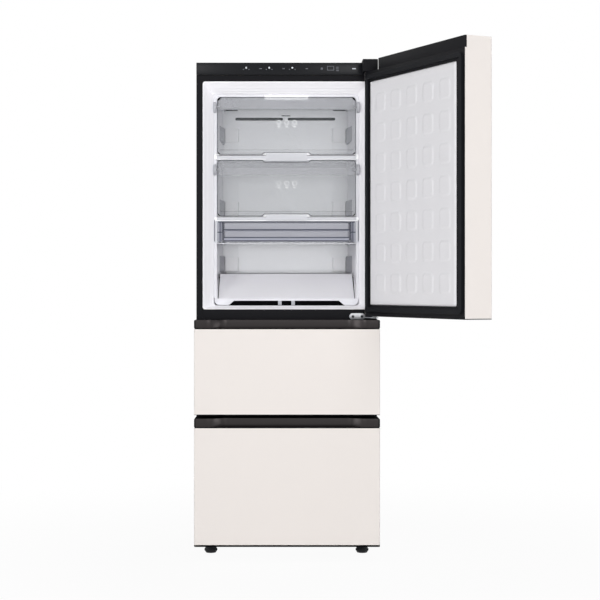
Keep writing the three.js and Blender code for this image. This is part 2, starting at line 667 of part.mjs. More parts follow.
/** A guard: a clear flap with a frosted band at its pivots, notched round the shelf grips. */
function guard({ z0, z1, pivotZ, above, below }) {
  const [half, t] = [256, 3.5];
  const [a, b] = [BULGE_HALF + 3, BULGE_HALF + BULGE_SLOPE + 3];
  const top = above ? [[b, z1], [a, above.bulge[0] - 2], [-a, above.bulge[0] - 2], [-b, z1]] : [];
  const low = below.bulge[1] + 2;
  const outline = [
    [-half, z0, 12], [-b, z0], [-a, low], [a, low], [b, z0], [half, z0, 12],
    [half, z1, 14], ...top, [-half, z1, 14],
  ];
  const y0 = GUARD_Y - t / 2;
  const flap = inward(outline, y0, y0 + t);
  const bandTop = above ? above.bulge[0] - 3 : z1 - 4;
  const band = inward(rectangle(-half + 4, half - 4, pivotZ - 20, bandTop, 3), y0 + t - 0.5, y0 + t + 1.5);
  const rib = inward(rectangle(-half + 8, half - 8, z0 + 16, z0 + 19), y0 + t - 0.5, y0 + t + 2);
  const pin = (s) => bar('x', [s * (half + 2.5), GUARD_Y, pivotZ], 3.5, 9, 12);
  const boss = (s) => bar('x', [s * (half - 7), GUARD_Y, pivotZ], 5.5, 14, 12);
  return join(flap, band, rib, boss(-1), boss(1), pin(-1), pin(1));
}

function buildShelves() {
  for (const shelf of SHELVES) {
    const [y0, y1] = [181, 598];
    const z = shelf.z0 + 3;
    const [mid, end] = [wallAt(y0 + 40) - 3, wallAt(y1) - 3];
    const plate = [
      [-257, y0], [257, y0], [mid, y0 + 60], [end, y1, 8], [-end, y1, 8], [-mid, y0 + 60],
    ];
    place(`${shelf.name}_plate`, upright(plate, z, z + 4), GLASS);
    const barPart = inward(trimOutline(shelf), 164, 180.7);
    const grip = inward(
      [[-BULGE_HALF, shelf.bulge[0] + 1, 4], [BULGE_HALF, shelf.bulge[0] + 1, 4],
        [BULGE_HALF, shelf.bulge[1] - 1, 4], [-BULGE_HALF, shelf.bulge[1] - 1, 4]],
      159, 165,
    );
    place(`${shelf.name}_trim`, join(barPart, grip), WHITE);
  }
  for (const item of GUARDS) place(item.name, guard(item), CLEAR);
}

/** The mini drawer's housing: a front frame and a rack that hangs under the lower shelf. */
function buildMiniDrawer() {
  const [z0, z1, rackTop] = [1139, 1222.6, 1225.6];
  const mouth = rectangle(-246, 246, z0 + 3.5, z1 - 3.5, 3);
  const frame = inward(rectangle(-264, 264, z0, z1, 6), 168, 180, [mouth]);
  const rack = inward(
    [[-246.5, z0], [-236, z0], [-236, z0 + 3], [-243.5, z0 + 3], [-243.5, rackTop - 3], [243.5, rackTop - 3],
      [243.5, z0 + 3], [236, z0 + 3], [236, z0], [246.5, z0], [246.5, rackTop], [-246.5, rackTop]],
    181, 430,
  );
  const tie = (s) => block(s < 0 ? -250 : 243, s < 0 ? -243 : 250, 178, 183, z0, z1);
  place('mini_drawer_housing', join(frame, rack, tie(-1), tie(1)), WHITE);

  const [b0, b1, t] = [z0 + 4, 1217, 2.5];
  const tub = (inset, z) => lying(-233 + inset, 233 - inset, 172 + inset, 424 - inset, 10, z);
  const shell = lofted([tub(t, b0 + 6), tub(t, b1), tub(0, b1), tub(0, b0 + 3)]);
  const skid = (s) => block(s < 0 ? -242.5 : 228, s < 0 ? -228 : 242.5, 184, 424, b0, b0 + 4);
  const pull = across(
    [[164, b1 - 30, 2], [173, b1 - 34], [173, b1], [166, b1, 2], [164, b1 - 5, 2]], -228, 228,
  );
  const ribs = [b0 + 12, b0 + 24].map((z) =>
    across([[169.5, z], [172.5, z - 1.5], [172.5, z + 4], [169.5, z + 2.5]], -226, 226));
  place('mini_drawer_bin', join(shell, skid(-1), skid(1), pull, ...ribs), SMOKE);
}

/** The rear duct cover: a tray over the cold air duct with two outlet slots and six stops. */
function buildRear() {
  const [y0, y1, half, z0, z1, t] = [612, 626, 243, 1034, 1684, 3];
  const tray = cut(
    inward(rectangle(-half, half, z0, z1, 14), y0, y1),
    inward(rectangle(-half + t, half - t, z0 + t, z1 - t, 11), y0 + t, y1 + 1),
  );
  const slot = (x0, x1) => inward(rectangle(x0, x1, 1642.4, 1651, 4.2), y0 - 2, y0 + t + 1);
  const stops = [];
  for (const [low, high] of [[1557, 1609], [1260, 1316], [1042, 1092]]) {
    for (const s of [-1, 1]) {
      const plan = [[s * 186, y0 + 1], [s * 192, y0 - 10, 3], [s * 238, y0 - 12, 3], [s * 240, y0 + 1]];
      stops.push(upright(plan, low, high));
    }
  }
  place('rear_duct_cover', join(cut(tray, slot(-198, -10), slot(10, 198)), ...stops), WHITE);

  place('upper_evaporator', finBlock({ x: [-205, 205], y: [630, 662], z: [1090, 1400] }, 22), FINS);
  place('lower_evaporator', coolingCoil(), COPPER);
  place('upper_fan', fan([0, 643, 1530], 52, 15, 7), PAN);

  const lens = [[166, 1695], [166, 1686, 3], [170, 1683.5, 3], [184, 1683.5, 3], [188, 1686, 3], [188, 1695]];
  place('ceiling_lamp', across(lens, -86, 86), LAMP);
}

/** A fin and tube block: a row of fins on a back bar, with tube ends on both sides. */
function finBlock({ x, y, z }, count) {
  const pitch = (x[1] - x[0]) / count;
  const fin = pitch * 0.35;
  const points = [[x[0], y[1]]];
  for (let k = 0; k < count; k += 1) {
    const left = x[0] + k * pitch;
    points.push([left, y[0]], [left + fin, y[0]]);
    if (k < count - 1) points.push([left + fin, y[1] - 5], [left + pitch, y[1] - 5]);
  }
  points.push([x[0] + (count - 1) * pitch + fin, y[1]]);
  const fins = upright(points, z[0], z[1]);
  const middle = (y[0] + y[1]) / 2;
  const right = x[0] + (count - 1) * pitch + fin;
  const tubes = [0.15, 0.5, 0.85].flatMap((t) =>
    [x[0] - 5, right + 5].map((end) => bar('x', [end, middle, z[0] + t * (z[1] - z[0])], 4, 12, 8)));
  return join(fins, ...tubes);
}

/** The drawer rooms' cooling tube: one run to and fro behind the middle room's rear wall. */
function coolingCoil() {
  const [runs, pitch, reach, r] = [6, 34, 190, 4];
  const path = new THREE.CurvePath();
  for (let k = 0; k < runs; k += 1) {
    const s = k % 2 ? 1 : -1;
    const z = COIL.z + k * pitch;
    const [start, end] = [s, -s].map((side) => new THREE.Vector3(side * reach, COIL.y, z));
    path.add(new THREE.LineCurve3(start, end));
    if (k === runs - 1) break;
    const bend = [0, 1, 2, 3, 4].map((i) => {
      const angle = (Math.PI * i) / 4;
      return new THREE.Vector3(
        -s * (reach + (pitch / 2) * Math.sin(angle)), COIL.y, z + (pitch / 2) * (1 - Math.cos(angle)),
      );
    });
    for (let i = 0; i < 4; i += 1) path.add(new THREE.LineCurve3(bend[i], bend[i + 1]));
  }
  const points = path.curves.map((c) => c.v1).concat(path.curves.at(-1).v2);
  const ring = (at, along) => {
    const up = new THREE.Vector3(0, 1, 0);
    const side = new THREE.Vector3().crossVectors(along, up).normalize();
    return Array.from({ length: 6 }, (_, i) => {
      const angle = (Math.PI * i) / 3;
      return at.clone().addScaledVector(up, r * Math.cos(angle)).addScaledVector(side, r * Math.sin(angle));
    });
  };
  const rings = points.map((p, i) => {
    const before = points[Math.max(i - 1, 0)];
    const after = points[Math.min(i + 1, points.length - 1)];
    return ring(p, after.clone().sub(before).normalize());
  });
  return lofted(rings);
}

/** An axial fan on an axis along y: a cupped hub with twisted blades. */
function fan([x, y, z], radius, hub, count) {
  let wheel = cut(bar('y', [0, 0, 0], hub, 20, 20), bar('y', [0, 8, 0], hub - 4, 14, 16));
  for (let k = 0; k < count; k += 1) {
    const rings = [[hub - 2, 46, 9], [radius * 0.62, 34, 14], [radius, 24, 17]].map(([r, pitch, chord]) => {
      const lean = THREE.MathUtils.degToRad(pitch);
      return [[-chord, -0.9], [chord, -0.9], [chord, 0.9], [-chord, 0.9]].map(([c, n]) => new THREE.Vector3(
        c * Math.cos(lean) - n * Math.sin(lean), c * Math.sin(lean) * 0.8 + n * Math.cos(lean), r,
      ));
    });
    wheel = wheel.add(lofted(rings).rotate([0, (360 * k) / count, 0]));
  }
  return wheel.translate([x, y, z]);
}

/** The tray on the upper room's floor: a lip over the return slot, a ramp and a raised deck. */
function buildFloorTray() {
  const t = 3;
  const [lipY, lipTop, rampY, deck] = [182, 937, 357, 1031];
  const slot = [[-212, 905], [212, 905], [212, 916], [194, 928.5, 3], [-194, 928.5, 3], [-212, 916]];
  const rib = (x) => rectangle(x - 5, x + 5, 912.5, 932);
  const front = [[-266, 912.5, 12], [266, 912.5, 12], [266, lipTop, 2], [-266, lipTop, 2]];
  const lip = cut(inward(front, lipY, lipY + t + 0.5, [], 5), inward(slot, lipY - 2, lipY + 8));
  const ribs = [-22, 22].map((x) => inward(rib(x), lipY, lipY + t));
  const rise = (half, points) => across(points, -half, half);
  const ramp = rise(251, [
    [lipY + 1, lipTop - t], [lipY + 2, lipTop], [rampY, deck], [rampY + 4, deck - t - 1],
  ]);
  const flat = rise(245, [[rampY - 2, deck - t], [rampY - 2, deck], [604, deck, 1], [604, deck - t, 1]]);
  const leg = rectangle(rampY, 598, 912.6, deck - t + 1);
  const legs = [-150, 150].map((x) => across(leg, x - 1.5, x + 1.5));
  place('floor_tray', join(lip, ...ribs, ramp, flat, ...legs), WHITE);
}

// ---------------------------------------------------------------- the machine space
function buildMachine() {
  const floor = UNDERSIDE + 3.8;
  const [cx, cy] = [-180, 615];
  const can = turned(
    [
      [0, floor + 12], [52, floor + 14], [70, floor + 26], [76, floor + 46], [77, floor + 78],
      [79, floor + 80], [79, floor + 84], [77, floor + 86], [75, floor + 120], [64, floor + 146],
      [40, floor + 160], [0, floor + 166],
    ],
    cx, cy, 20,
  );
  const foot = upright(
    [[cx - 96, cy - 62, 12], [cx + 96, cy - 62, 12], [cx + 96, cy + 62, 12], [cx - 96, cy + 62, 12]],
    floor + 12, floor + 15,
  );
  const pad = [
    [0, floor], [11, floor], [12, floor + 4], [9, floor + 8], [12, floor + 13], [0, floor + 13],
  ];
  const pads = [[-1, -1], [1, -1], [1, 1], [-1, 1]].map(([a, b]) =>
    turned(pad, cx + a * 82, cy + b * 48, 8));
  place('compressor', join(can, foot, ...pads), NYLON);

  place('condenser', finBlock({ x: [70, 250], y: [560, 610], z: [floor + 30, floor + 190] }, 16), FINS);
  place('condenser_fan', fan([160, 650, floor + 108], 66, 18, 5), PAN);

  const pan = (inset, z) => lying(40 + inset, 290 - inset, 530 + inset, 700 - inset, 12, z);
  const tub = [pan(3, floor + 2.5), pan(2.2, floor + 24), pan(0, floor + 24), pan(1, floor)];
  place('drain_pan', lofted(tub), PAN);

  const slots = [];
  for (const x of [-290, 40]) {
    for (let k = 0; k < 9; k += 1) {
      const z = 92 + 16 * k;
      slots.push(rectangle(x, x + 250, z, z + 6, 2.9));
    }
  }
  const cover = inward(
    rectangle(-324, 324, UNDERSIDE + 18, MACHINE.z + 2, 6), CASE_BACK + FIT, CASE_BACK + 1.3, slots, 1,
  );
  place('machine_cover', cover, COATED);

  // The mains inlet: a shroud on the back of the case, open to the rear, with three pins.
  const [near, far] = [CASE_BACK + 1.6, DEPTH];
  const shroud = cut(
    inward(rectangle(-316, -264, 276, 306, 5), near, far),
    inward(rectangle(-313, -267, 279, 303, 3), near + 1.5, far + 1),
  );
  const pins = [-301, -290, -279].map((x) => inward(rectangle(x - 2, x + 2, 285, 297), near + 1, far - 1.5));
  place('power_inlet', join(shroud, ...pins), NYLON);

  const lid = [[near, 300], [far, 306, 3], [far, 464, 3], [near, 470]];
  const vents = [0, 1, 2, 3, 4].map((k) =>
    inward(rectangle(212, 288, 350 + 14 * k, 356 + 14 * k, 2.8), far - 2, far + 1, [], 2));
  place('control_board_cover', cut(across(lid, 190, 310), ...vents), COATED);
}

buildShell();
buildBase();
buildHinges();
buildDoor();
buildDrawers();
buildShelves();
buildMiniDrawer();
buildRear();
buildFloorTray();
buildMachine();

export default fridge;
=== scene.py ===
"""Looks of a free-standing kimchi refrigerator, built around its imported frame.

Sizes are in millimetres in the cabinet's own frame, as they are measured on the appliance: x runs
to the right from the middle of the cabinet, y runs back from the closed fronts and z runs up from
the floor. Every mesh is stored in metres in the frame's coordinates.
"""

from __future__ import annotations

import json
import logging
import math
from collections.abc import Callable, Iterable, Iterator, Sequence
from dataclasses import dataclass
from enum import Enum

import bmesh
import bpy
from mathutils import Matrix, Vector

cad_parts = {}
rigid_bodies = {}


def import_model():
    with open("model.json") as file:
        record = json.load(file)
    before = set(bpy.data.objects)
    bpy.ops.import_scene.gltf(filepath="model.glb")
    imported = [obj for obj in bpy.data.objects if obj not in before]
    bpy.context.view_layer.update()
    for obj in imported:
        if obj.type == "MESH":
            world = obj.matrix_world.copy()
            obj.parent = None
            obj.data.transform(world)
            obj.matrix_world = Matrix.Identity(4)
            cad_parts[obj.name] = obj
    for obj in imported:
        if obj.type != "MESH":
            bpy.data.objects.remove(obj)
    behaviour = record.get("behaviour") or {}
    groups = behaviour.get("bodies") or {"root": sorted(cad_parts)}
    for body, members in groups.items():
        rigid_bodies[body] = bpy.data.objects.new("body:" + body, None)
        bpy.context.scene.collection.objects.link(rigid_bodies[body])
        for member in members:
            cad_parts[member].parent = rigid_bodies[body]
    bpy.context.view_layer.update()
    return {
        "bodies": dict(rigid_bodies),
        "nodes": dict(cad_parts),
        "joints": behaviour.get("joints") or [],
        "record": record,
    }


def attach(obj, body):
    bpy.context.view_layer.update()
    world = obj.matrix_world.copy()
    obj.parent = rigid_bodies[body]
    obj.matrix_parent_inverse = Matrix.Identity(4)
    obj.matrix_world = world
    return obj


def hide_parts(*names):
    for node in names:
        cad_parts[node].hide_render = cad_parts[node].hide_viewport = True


LOG = logging.getLogger("refrigerator")
ORIGIN = (166.0, 104.0)
PIVOT = (318.0, 72.5)
FRAME_FACE = 113.2
DOOR_OPEN = math.radians(115.6)
FRAME_PIXELS = 600
SENSOR = 36.0
MICRONS = 1e6
CLOUD_PITCH = 9.0
SPECK_SHARE = 0.4
WELD = 1e-6
FLAT = math.radians(0.6)
SHARP = math.radians(32)
CREASE = math.radians(34)
PURE_WHITE = (1.0, 1.0, 1.0, 1.0)
SKY = (0.96, 0.98, 1.0, 1.0)
SIDES = (-1, 1)

Point = tuple[float, float]
Box = tuple[float, float, float, float]
Colour = tuple[float, float, float]
Line = list[tuple[float, float, float]]
Spots = Sequence[Sequence[float]]
Placer = Callable[[float, float, float], Vector]
Piece = bpy.types.Object
Socket = bpy.types.NodeSocket


def in_cabinet(x: float, y: float, z: float) -> Vector:
    """Gives the frame's place, in metres, of a point of the cabinet."""
    return Vector(((x - ORIGIN[0]) / 1000, (y - ORIGIN[1]) / 1000, z / 1000))


def on_door(x: float, y: float, z: float) -> Vector:
    """Gives the place of a point of the door, which is drawn shut and shown standing open."""
    dx, dy = x - PIVOT[0], y - PIVOT[1]
    c, s = math.cos(DOOR_OPEN), math.sin(DOOR_OPEN)
    return in_cabinet(PIVOT[0] + dx * c - dy * s, PIVOT[1] + dx * s + dy * c, z)


def linear(red: float, green: float, blue: float) -> tuple[float, float, float, float]:
    """Turns a display colour of 0 to 255 into the linear colour that shaders take."""

    def one(value: float) -> float:
        """Turns one of its three values."""
        part = value / 255
        return part / 12.92 if part <= 0.04045 else ((part + 0.055) / 1.055) ** 2.4

    return one(red), one(green), one(blue), 1.0


# ---------------- node trees
class Num:
    """A number that runs through a node tree, on which Python's operators work."""

    def __init__(self, tree: Tree, socket: Socket) -> None:
        """Keeps the socket that carries the number, and its tree."""
        self.tree = tree
        self.socket = socket

    def _math(self, operation: str, *values: Num | float) -> Num:
        """Adds one Math node that works on the given values in order."""
        node = self.tree.node("ShaderNodeMath", dict(enumerate(values)), operation=operation)
        return Num(self.tree, node.outputs[0])

    def __add__(self, other: Num | float) -> Num:
        """Adds."""
        return self._math("ADD", self, other)

    __radd__ = __add__

    def __sub__(self, other: Num | float) -> Num:
        """Takes other away."""
        return self._math("SUBTRACT", self, other)

    def __rsub__(self, other: Num | float) -> Num:
        """Takes this away from other."""
        return self._math("SUBTRACT", other, self)

    def __mul__(self, other: Num | float) -> Num:
        """Multiplies."""
        return self._math("MULTIPLY", self, other)

    __rmul__ = __mul__

    def __abs__(self) -> Num:
        """Drops the sign."""
        return self._math("ABSOLUTE", self)

    def above(self, limit: Num | float) -> Num:
        """Gives the larger of this and the limit."""
        return self._math("MAXIMUM", self, limit)

    def below(self, limit: Num | float) -> Num:
        """Gives the smaller of this and the limit."""
        return self._math("MINIMUM", self, limit)

    def root(self) -> Num:
        """Gives the square root."""
        return self._math("SQRT", self)

    def wrapped(self, pitch: float) -> Num:
        """Gives the distance to the nearest whole multiple of the pitch, with its sign."""
        return self._math("WRAP", self, pitch / 2, -pitch / 2)

    def smooth(self, low: float, high: float) -> Num:
        """Rises smoothly from 0 at low to 1 at high."""
        values = {"Value": self, "From Min": low, "From Max": high}
        node = self.tree.node("ShaderNodeMapRange", values, interpolation_type="SMOOTHSTEP")
        return Num(self.tree, node.outputs["Result"])


class Tree:
    """Adds nodes to a shader or geometry tree."""

    def __init__(self, nodes: bpy.types.NodeTree) -> None:
        """Keeps the tree and empties it."""
        self.tree = nodes
        nodes.nodes.clear()

    def node(self, kind: str, values: dict | None = None, **settings: object) -> bpy.types.Node:
        """Adds a node.

        Args:
            kind: The node's type.
            values: Values or links for its sockets, by name or by number.
            settings: Its own properties, which are set first.

        Returns:
            The new node.
        """
        node = self.tree.nodes.new(kind)
        for name, value in settings.items():
            setattr(node, name, value)
        for key, value in (values or {}).items():
            socket = node.inputs[key]
            source = value.socket if isinstance(value, Num) else value
            if isinstance(source, Socket):
                self.tree.links.new(source, socket)
            else:
                socket.default_value = source
        return node

    def axes(self, vector: Socket) -> tuple[Num, Num, Num]:
        """Splits a vector into its three numbers."""
        parts = self.node("ShaderNodeSeparateXYZ", {0: vector}).outputs
        return Num(self, parts[0]), Num(self, parts[1]), Num(self, parts[2])

    def noise(self, vector: Socket, scale: float, detail: float = 2.0) -> Num:
        """Gives a soft noise around 0.5 at so many features a metre."""
        values = {"Vector": vector, "Scale": scale, "Detail": detail, "Roughness": 0.55}
        return Num(self, self.node("ShaderNodeTexNoise", values).outputs[0])

    def shader(self, kind: str, values: dict) -> Socket:
        """Adds a shader of a kind and gives its output."""
        return self.node("ShaderNode" + kind, values).outputs[0]

    def blend(self, factor: Num, first: object, second: object) -> Socket:
        """Mixes two colours by a factor."""
        values = {0: factor, 6: first, 7: second}
        return self.node("ShaderNodeMix", values, data_type="RGBA").outputs[2]


# ---------------- finishes
class Grain(Enum):
    """The fine relief of a surface."""

    PEEL = "paint that has levelled almost smooth"
    LEATHER = "moulded plastic with a fine grain"
    BRUSHED = "lines drawn along x"
    SPANGLE = "crystals of a zinc coat"
    FROST = "etched or matt clear plastic"
    POLISHED = "smooth"
    BUBBLES = "cut or skinned foam"


@dataclass(frozen=True)
class Finish:
    """One finish: its colour, its gloss and the unevenness that it really has.

    The relief is in micrometres, and the pitch is its number of features in a metre.
    """

    name: str
    color: Colour
    roughness: float = 0.4
    metallic: float = 0.0
    grain: Grain = Grain.PEEL
    relief: float = 30.0
    pitch: float = 700.0
    mottle: float = 0.03
    coat: float = 0.0
    alpha: float = 1.0
    ior: float = 1.46
    specular: float = 0.5
    glow: float = 0.0

    def _relief(self, tree: Tree, place: Socket) -> Num:
        """Gives the height of the grain, from 0 to 1."""
        if self.grain is Grain.BRUSHED:
            drawn = {0: place, 1: (0.02, 1.0, 1.0)}
            scale = tree.node("ShaderNodeVectorMath", drawn, operation="MULTIPLY")
            return tree.noise(scale.outputs[0], self.pitch, 3.0)
        if self.grain in (Grain.LEATHER, Grain.SPANGLE, Grain.BUBBLES):
            values = {"Vector": place, "Scale": self.pitch}
            feature = "F1" if self.grain is Grain.SPANGLE else "SMOOTH_F1"
            cells = tree.node("ShaderNodeTexVoronoi", values, feature=feature)
            return Num(tree, cells.outputs["Distance"])
        return tree.noise(place, self.pitch, 3.0)

    def material(self) -> bpy.types.Material:
        """Builds the material once and gives it again after that."""
        made = bpy.data.materials.get(self.name)
        if made:
            return made
        made = bpy.data.materials.new(self.name)
        made.use_nodes = True
        tree = Tree(made.node_tree)
        place = tree.node("ShaderNodeTexCoord").outputs["Object"]
        base = linear(*self.color)
        dark = tuple(c * (1 - 4 * self.mottle) for c in base[:3]) + (1.0,)
        cloud = tree.noise(place, CLOUD_PITCH, 4.0)
        speck = tree.noise(place, self.pitch * SPECK_SHARE)
        tone = tree.blend(cloud * 0.35 + speck * 0.3 - 0.2, base, dark)
        relief = self._relief(tree, place)
        if self.grain is Grain.SPANGLE:
            tone = tree.blend(relief * 0.5, tone, tuple(c * 0.72 for c in base[:3]) + (1.0,))
        rough = self.roughness * (0.86 + cloud * 0.18 + speck * 0.1)
        grain = {"Strength": 1.0, "Distance": self.relief / MICRONS, "Height": relief}
        bump = tree.node("ShaderNodeBump", grain)
        values = {
            "Base Color": tone, "Roughness": rough, "Metallic": self.metallic, "IOR": self.ior,
            "Specular IOR Level": self.specular, "Coat Weight": self.coat, "Coat Roughness": 0.08,
            "Normal": bump.outputs[0], "Alpha": self.alpha,
        }
        if self.alpha < 1:
            values["Alpha"] = self.alpha * (0.94 + speck * 0.12)
        if self.glow:
            values |= {"Emission Color": tone, "Emission Strength": self.glow}
        shader = tree.shader("BsdfPrincipled", values)
        tree.node("ShaderNodeOutputMaterial", {"Surface": shader})
        made.diffuse_color = base[:3] + (self.alpha,)
        return made


def moulded(
    name: str, color: Colour, roughness: float, relief: float, pitch: float = 420
) -> Finish:
    """Gives a pale moulded plastic that is almost smooth."""
    return Finish(name, color, roughness, relief=relief, pitch=pitch, mottle=0.008, specular=0.3)


def grained(
    name: str, color: Colour, pitch: float, specular: float, relief: float = 30,
    mottle: float = 0.05,
) -> Finish:
    """Gives a dark plastic with a fine leather grain."""
    look = {"relief": relief, "pitch": pitch, "mottle": mottle, "specular": specular}
    return Finish(name, color, 0.5, grain=Grain.LEATHER, **look)


def etched(name: str, color: Colour, roughness: float, pitch: float, **more: float) -> Finish:
    """Gives a matt surface with a fine even grain."""
    return Finish(name, color, roughness, grain=Grain.FROST, pitch=pitch, **more)


BEIGE = Finish(
    "beige_coated_sheet", (226, 220, 216), 0.42, relief=20, pitch=900, mottle=0.008, specular=0.2
)
BLACK = grained("black_grained_plastic", (20, 20, 23), 1400, 0.1)
PANEL_BLACK = Finish("gloss_black_touch_panel", (24, 25, 28), 0.24, relief=4, specular=0.14)
RAIL_BLACK = grained("recessed_black_rail", (19, 19, 22), 1500, 0.1)
BRONZE = Finish("bronze_grip", (60, 57, 57), 0.3, 1.0, Grain.BRUSHED, 10, 1600, 0.05)
WHITE = moulded("white_liner", (251, 250, 254), 0.34, 10)
DUCT_WHITE = moulded("cold_air_cover_white", (248, 249, 251), 0.4, 30)
# A greyer copy of the liner's white, on the guard seat and the tray's lip, as painted shade.
SHADED_FLANGE_WHITE = moulded("room_flange_white", (224, 224, 229), 0.36, 20)
PANEL_WHITE = moulded("door_panel_white", (240, 239, 242), 0.45, 40, 500)
TRIM_WHITE = Finish("white_shelf_trim", (200, 201, 206), 0.3, relief=10, mottle=0.01, specular=0.3)
# White for beads, lugs and stops, and for thin strips that are painted highlights on edges.
BEAD_AND_HIGHLIGHT_WHITE = Finish("white_trim_bead", (250, 250, 252), 0.3, relief=10, mottle=0.004)
BOSS_GREY = Finish("grey_bearing_boss", (178, 179, 185), 0.36, relief=10, mottle=0.02, specular=0.3)
# Grey painted shade on the walls beside the rear cover.
SHADE_GREY = etched("grey_guide_wedge", (192, 192, 198), 0.5, 900, specular=0.2)
GASKET = etched("black_gasket_rubber", (24, 25, 28), 0.62, 1800, mottle=0.06, specular=0.12)
CLEAR = Finish("clear_guard_plastic", (150, 154, 158), 0.12, relief=4, alpha=0.12, mottle=0.02)
# The flap's edge colours are painted shade that stands for refraction in the clear edge.
EDGE_SHADE_GREY = Finish("guard_edge", (84, 87, 94), 0.2, relief=4, alpha=0.75, mottle=0.03)
CORNER_SHADE_BLACK = Finish("guard_corner_edge", (8, 9, 11), 0.4, relief=4, mottle=0.03, specular=0.02)
FROSTED = etched("frosted_band", (204, 205, 210), 0.5, 1600, alpha=0.34)
PRINT_WHITE = Finish("white_print", (250, 251, 252), 0.5, alpha=0.75, mottle=0.02)
SMOKE = Finish("bluish_bin_plastic", (192, 193, 202), 0.14, relief=6, alpha=0.5, mottle=0.02)
SMOKE_EDGE = Finish("bin_edge", (84, 87, 100), 0.2, relief=6, alpha=0.9, mottle=0.03, specular=0.2)
RAIL_BLUE = Finish("bluish_rail", (158, 160, 174), 0.3, relief=6, mottle=0.04, specular=0.3)
BIN_CLEAR = Finish("clear_bin_plastic", (208, 212, 216), 0.16, relief=6, alpha=0.45, mottle=0.02)
GLASS = Finish("shelf_glass", (214, 226, 224), 0.05, relief=0.4, alpha=0.3, ior=1.5, mottle=0.01)
LAMP = etched("lamp_lens", (250, 250, 252), 0.35, 900, glow=0.9, mottle=0.004)
STEEL = Finish("plated_steel", (196, 197, 201), 0.34, 1.0, Grain.BRUSHED, 8, 2200, 0.05)
ZINC = Finish("zinc_coated_sheet", (150, 153, 157), 0.46, 0.75, Grain.SPANGLE, 15, 160, 0.05)
COMPRESSOR = Finish("black_baked_enamel", (26, 27, 30), 0.38, pitch=600, coat=0.3, mottle=0.06)
FINS = Finish("aluminium_fins", (196, 198, 201), 0.34, 1.0, Grain.BRUSHED, 10, 1500, 0.04)
COPPER = Finish("copper_tube", (190, 112, 72), 0.32, 1.0, Grain.POLISHED, 6, 900, 0.08)
DARK = grained("dark_grey_plastic", (58, 60, 64), 1200, 0.5)
NYLON = grained("black_nylon", (32, 33, 35), 1700, 0.2, relief=50, mottle=0.08)
# Near-black painted shade for sockets, grip top and ends, duct slots and the tray's return slot.
PAINTED_SHADE_BLACK = etched("duct_black", (10, 10, 12), 0.8, 900, mottle=0.05, specular=0.02)
LIP_GREY = Finish("warm_grey_lip", (160, 158, 152), 0.45, relief=10, mottle=0.02, specular=0.2)
FOAM = Finish("insulation_foam", (217, 207, 168), 0.9, 0.0, Grain.BUBBLES, 300, 500, 0.05)
MARK = Finish("panel_marks", (196, 200, 206), 0.4, relief=2, glow=0.12, mottle=0.01)
DIM_MARK = Finish("dim_panel_marks", (104, 106, 112), 0.4, relief=2, mottle=0.01, specular=0.1)


# ---------------- meshes
def corners(points: Spots, steps: int = 8) -> list[Point]:
    """Gives a closed outline's points, with each corner (u, v, r) rounded to its radius r."""
    out: list[Point] = []
    for i, point in enumerate(points):
        here = Vector(point[:2])
        r = point[2] if len(point) > 2 else 0
        if not r:
            out.append((here.x, here.y))
            continue
        back = (Vector(points[i - 1][:2]) - here).normalized()
        on = (Vector(points[(i + 1) % len(points)][:2]) - here).normalized()
        half = math.acos(max(-1.0, min(1.0, back.dot(on)))) / 2
        middle = here + (back + on).normalized() * (r / math.sin(half))
        first = here + back * (r / math.tan(half)) - middle
        last = here + on * (r / math.tan(half)) - middle
        start = math.atan2(first.y, first.x)
        turn = math.remainder(math.atan2(last.y, last.x) - start, math.tau)
        for k in range(steps + 1):
            angle = start + turn * k / steps
            out.append((middle.x + r * math.cos(angle), middle.y + r * math.sin(angle)))
    return out


def rectangle(u0: float, u1: float, v0: float, v1: float, r: float = 0) -> Line:
    """Gives a rectangle's corners, rounded to the radius r."""
    return [(u0, v0, r), (u1, v0, r), (u1, v1, r), (u0, v1, r)]


def mirrored(half: Spots) -> Spots:
    """Completes an outline whose points on the right are given with those on the left."""
    return [*half, *((-u, v, *r) for u, v, *r in reversed(half))]


def upright(ring: Spots, y: float) -> Line:
    """Stands an outline of (x, z) points at the depth y."""
    return [(u, y, v) for u, v in ring]


def add_object(name: str, data: bpy.types.ID) -> Piece:
    """Makes an object of a mesh, light or camera and shows it in the scene."""
    made = bpy.data.objects.new(name, data)
    bpy.context.scene.collection.objects.link(made)
    return made


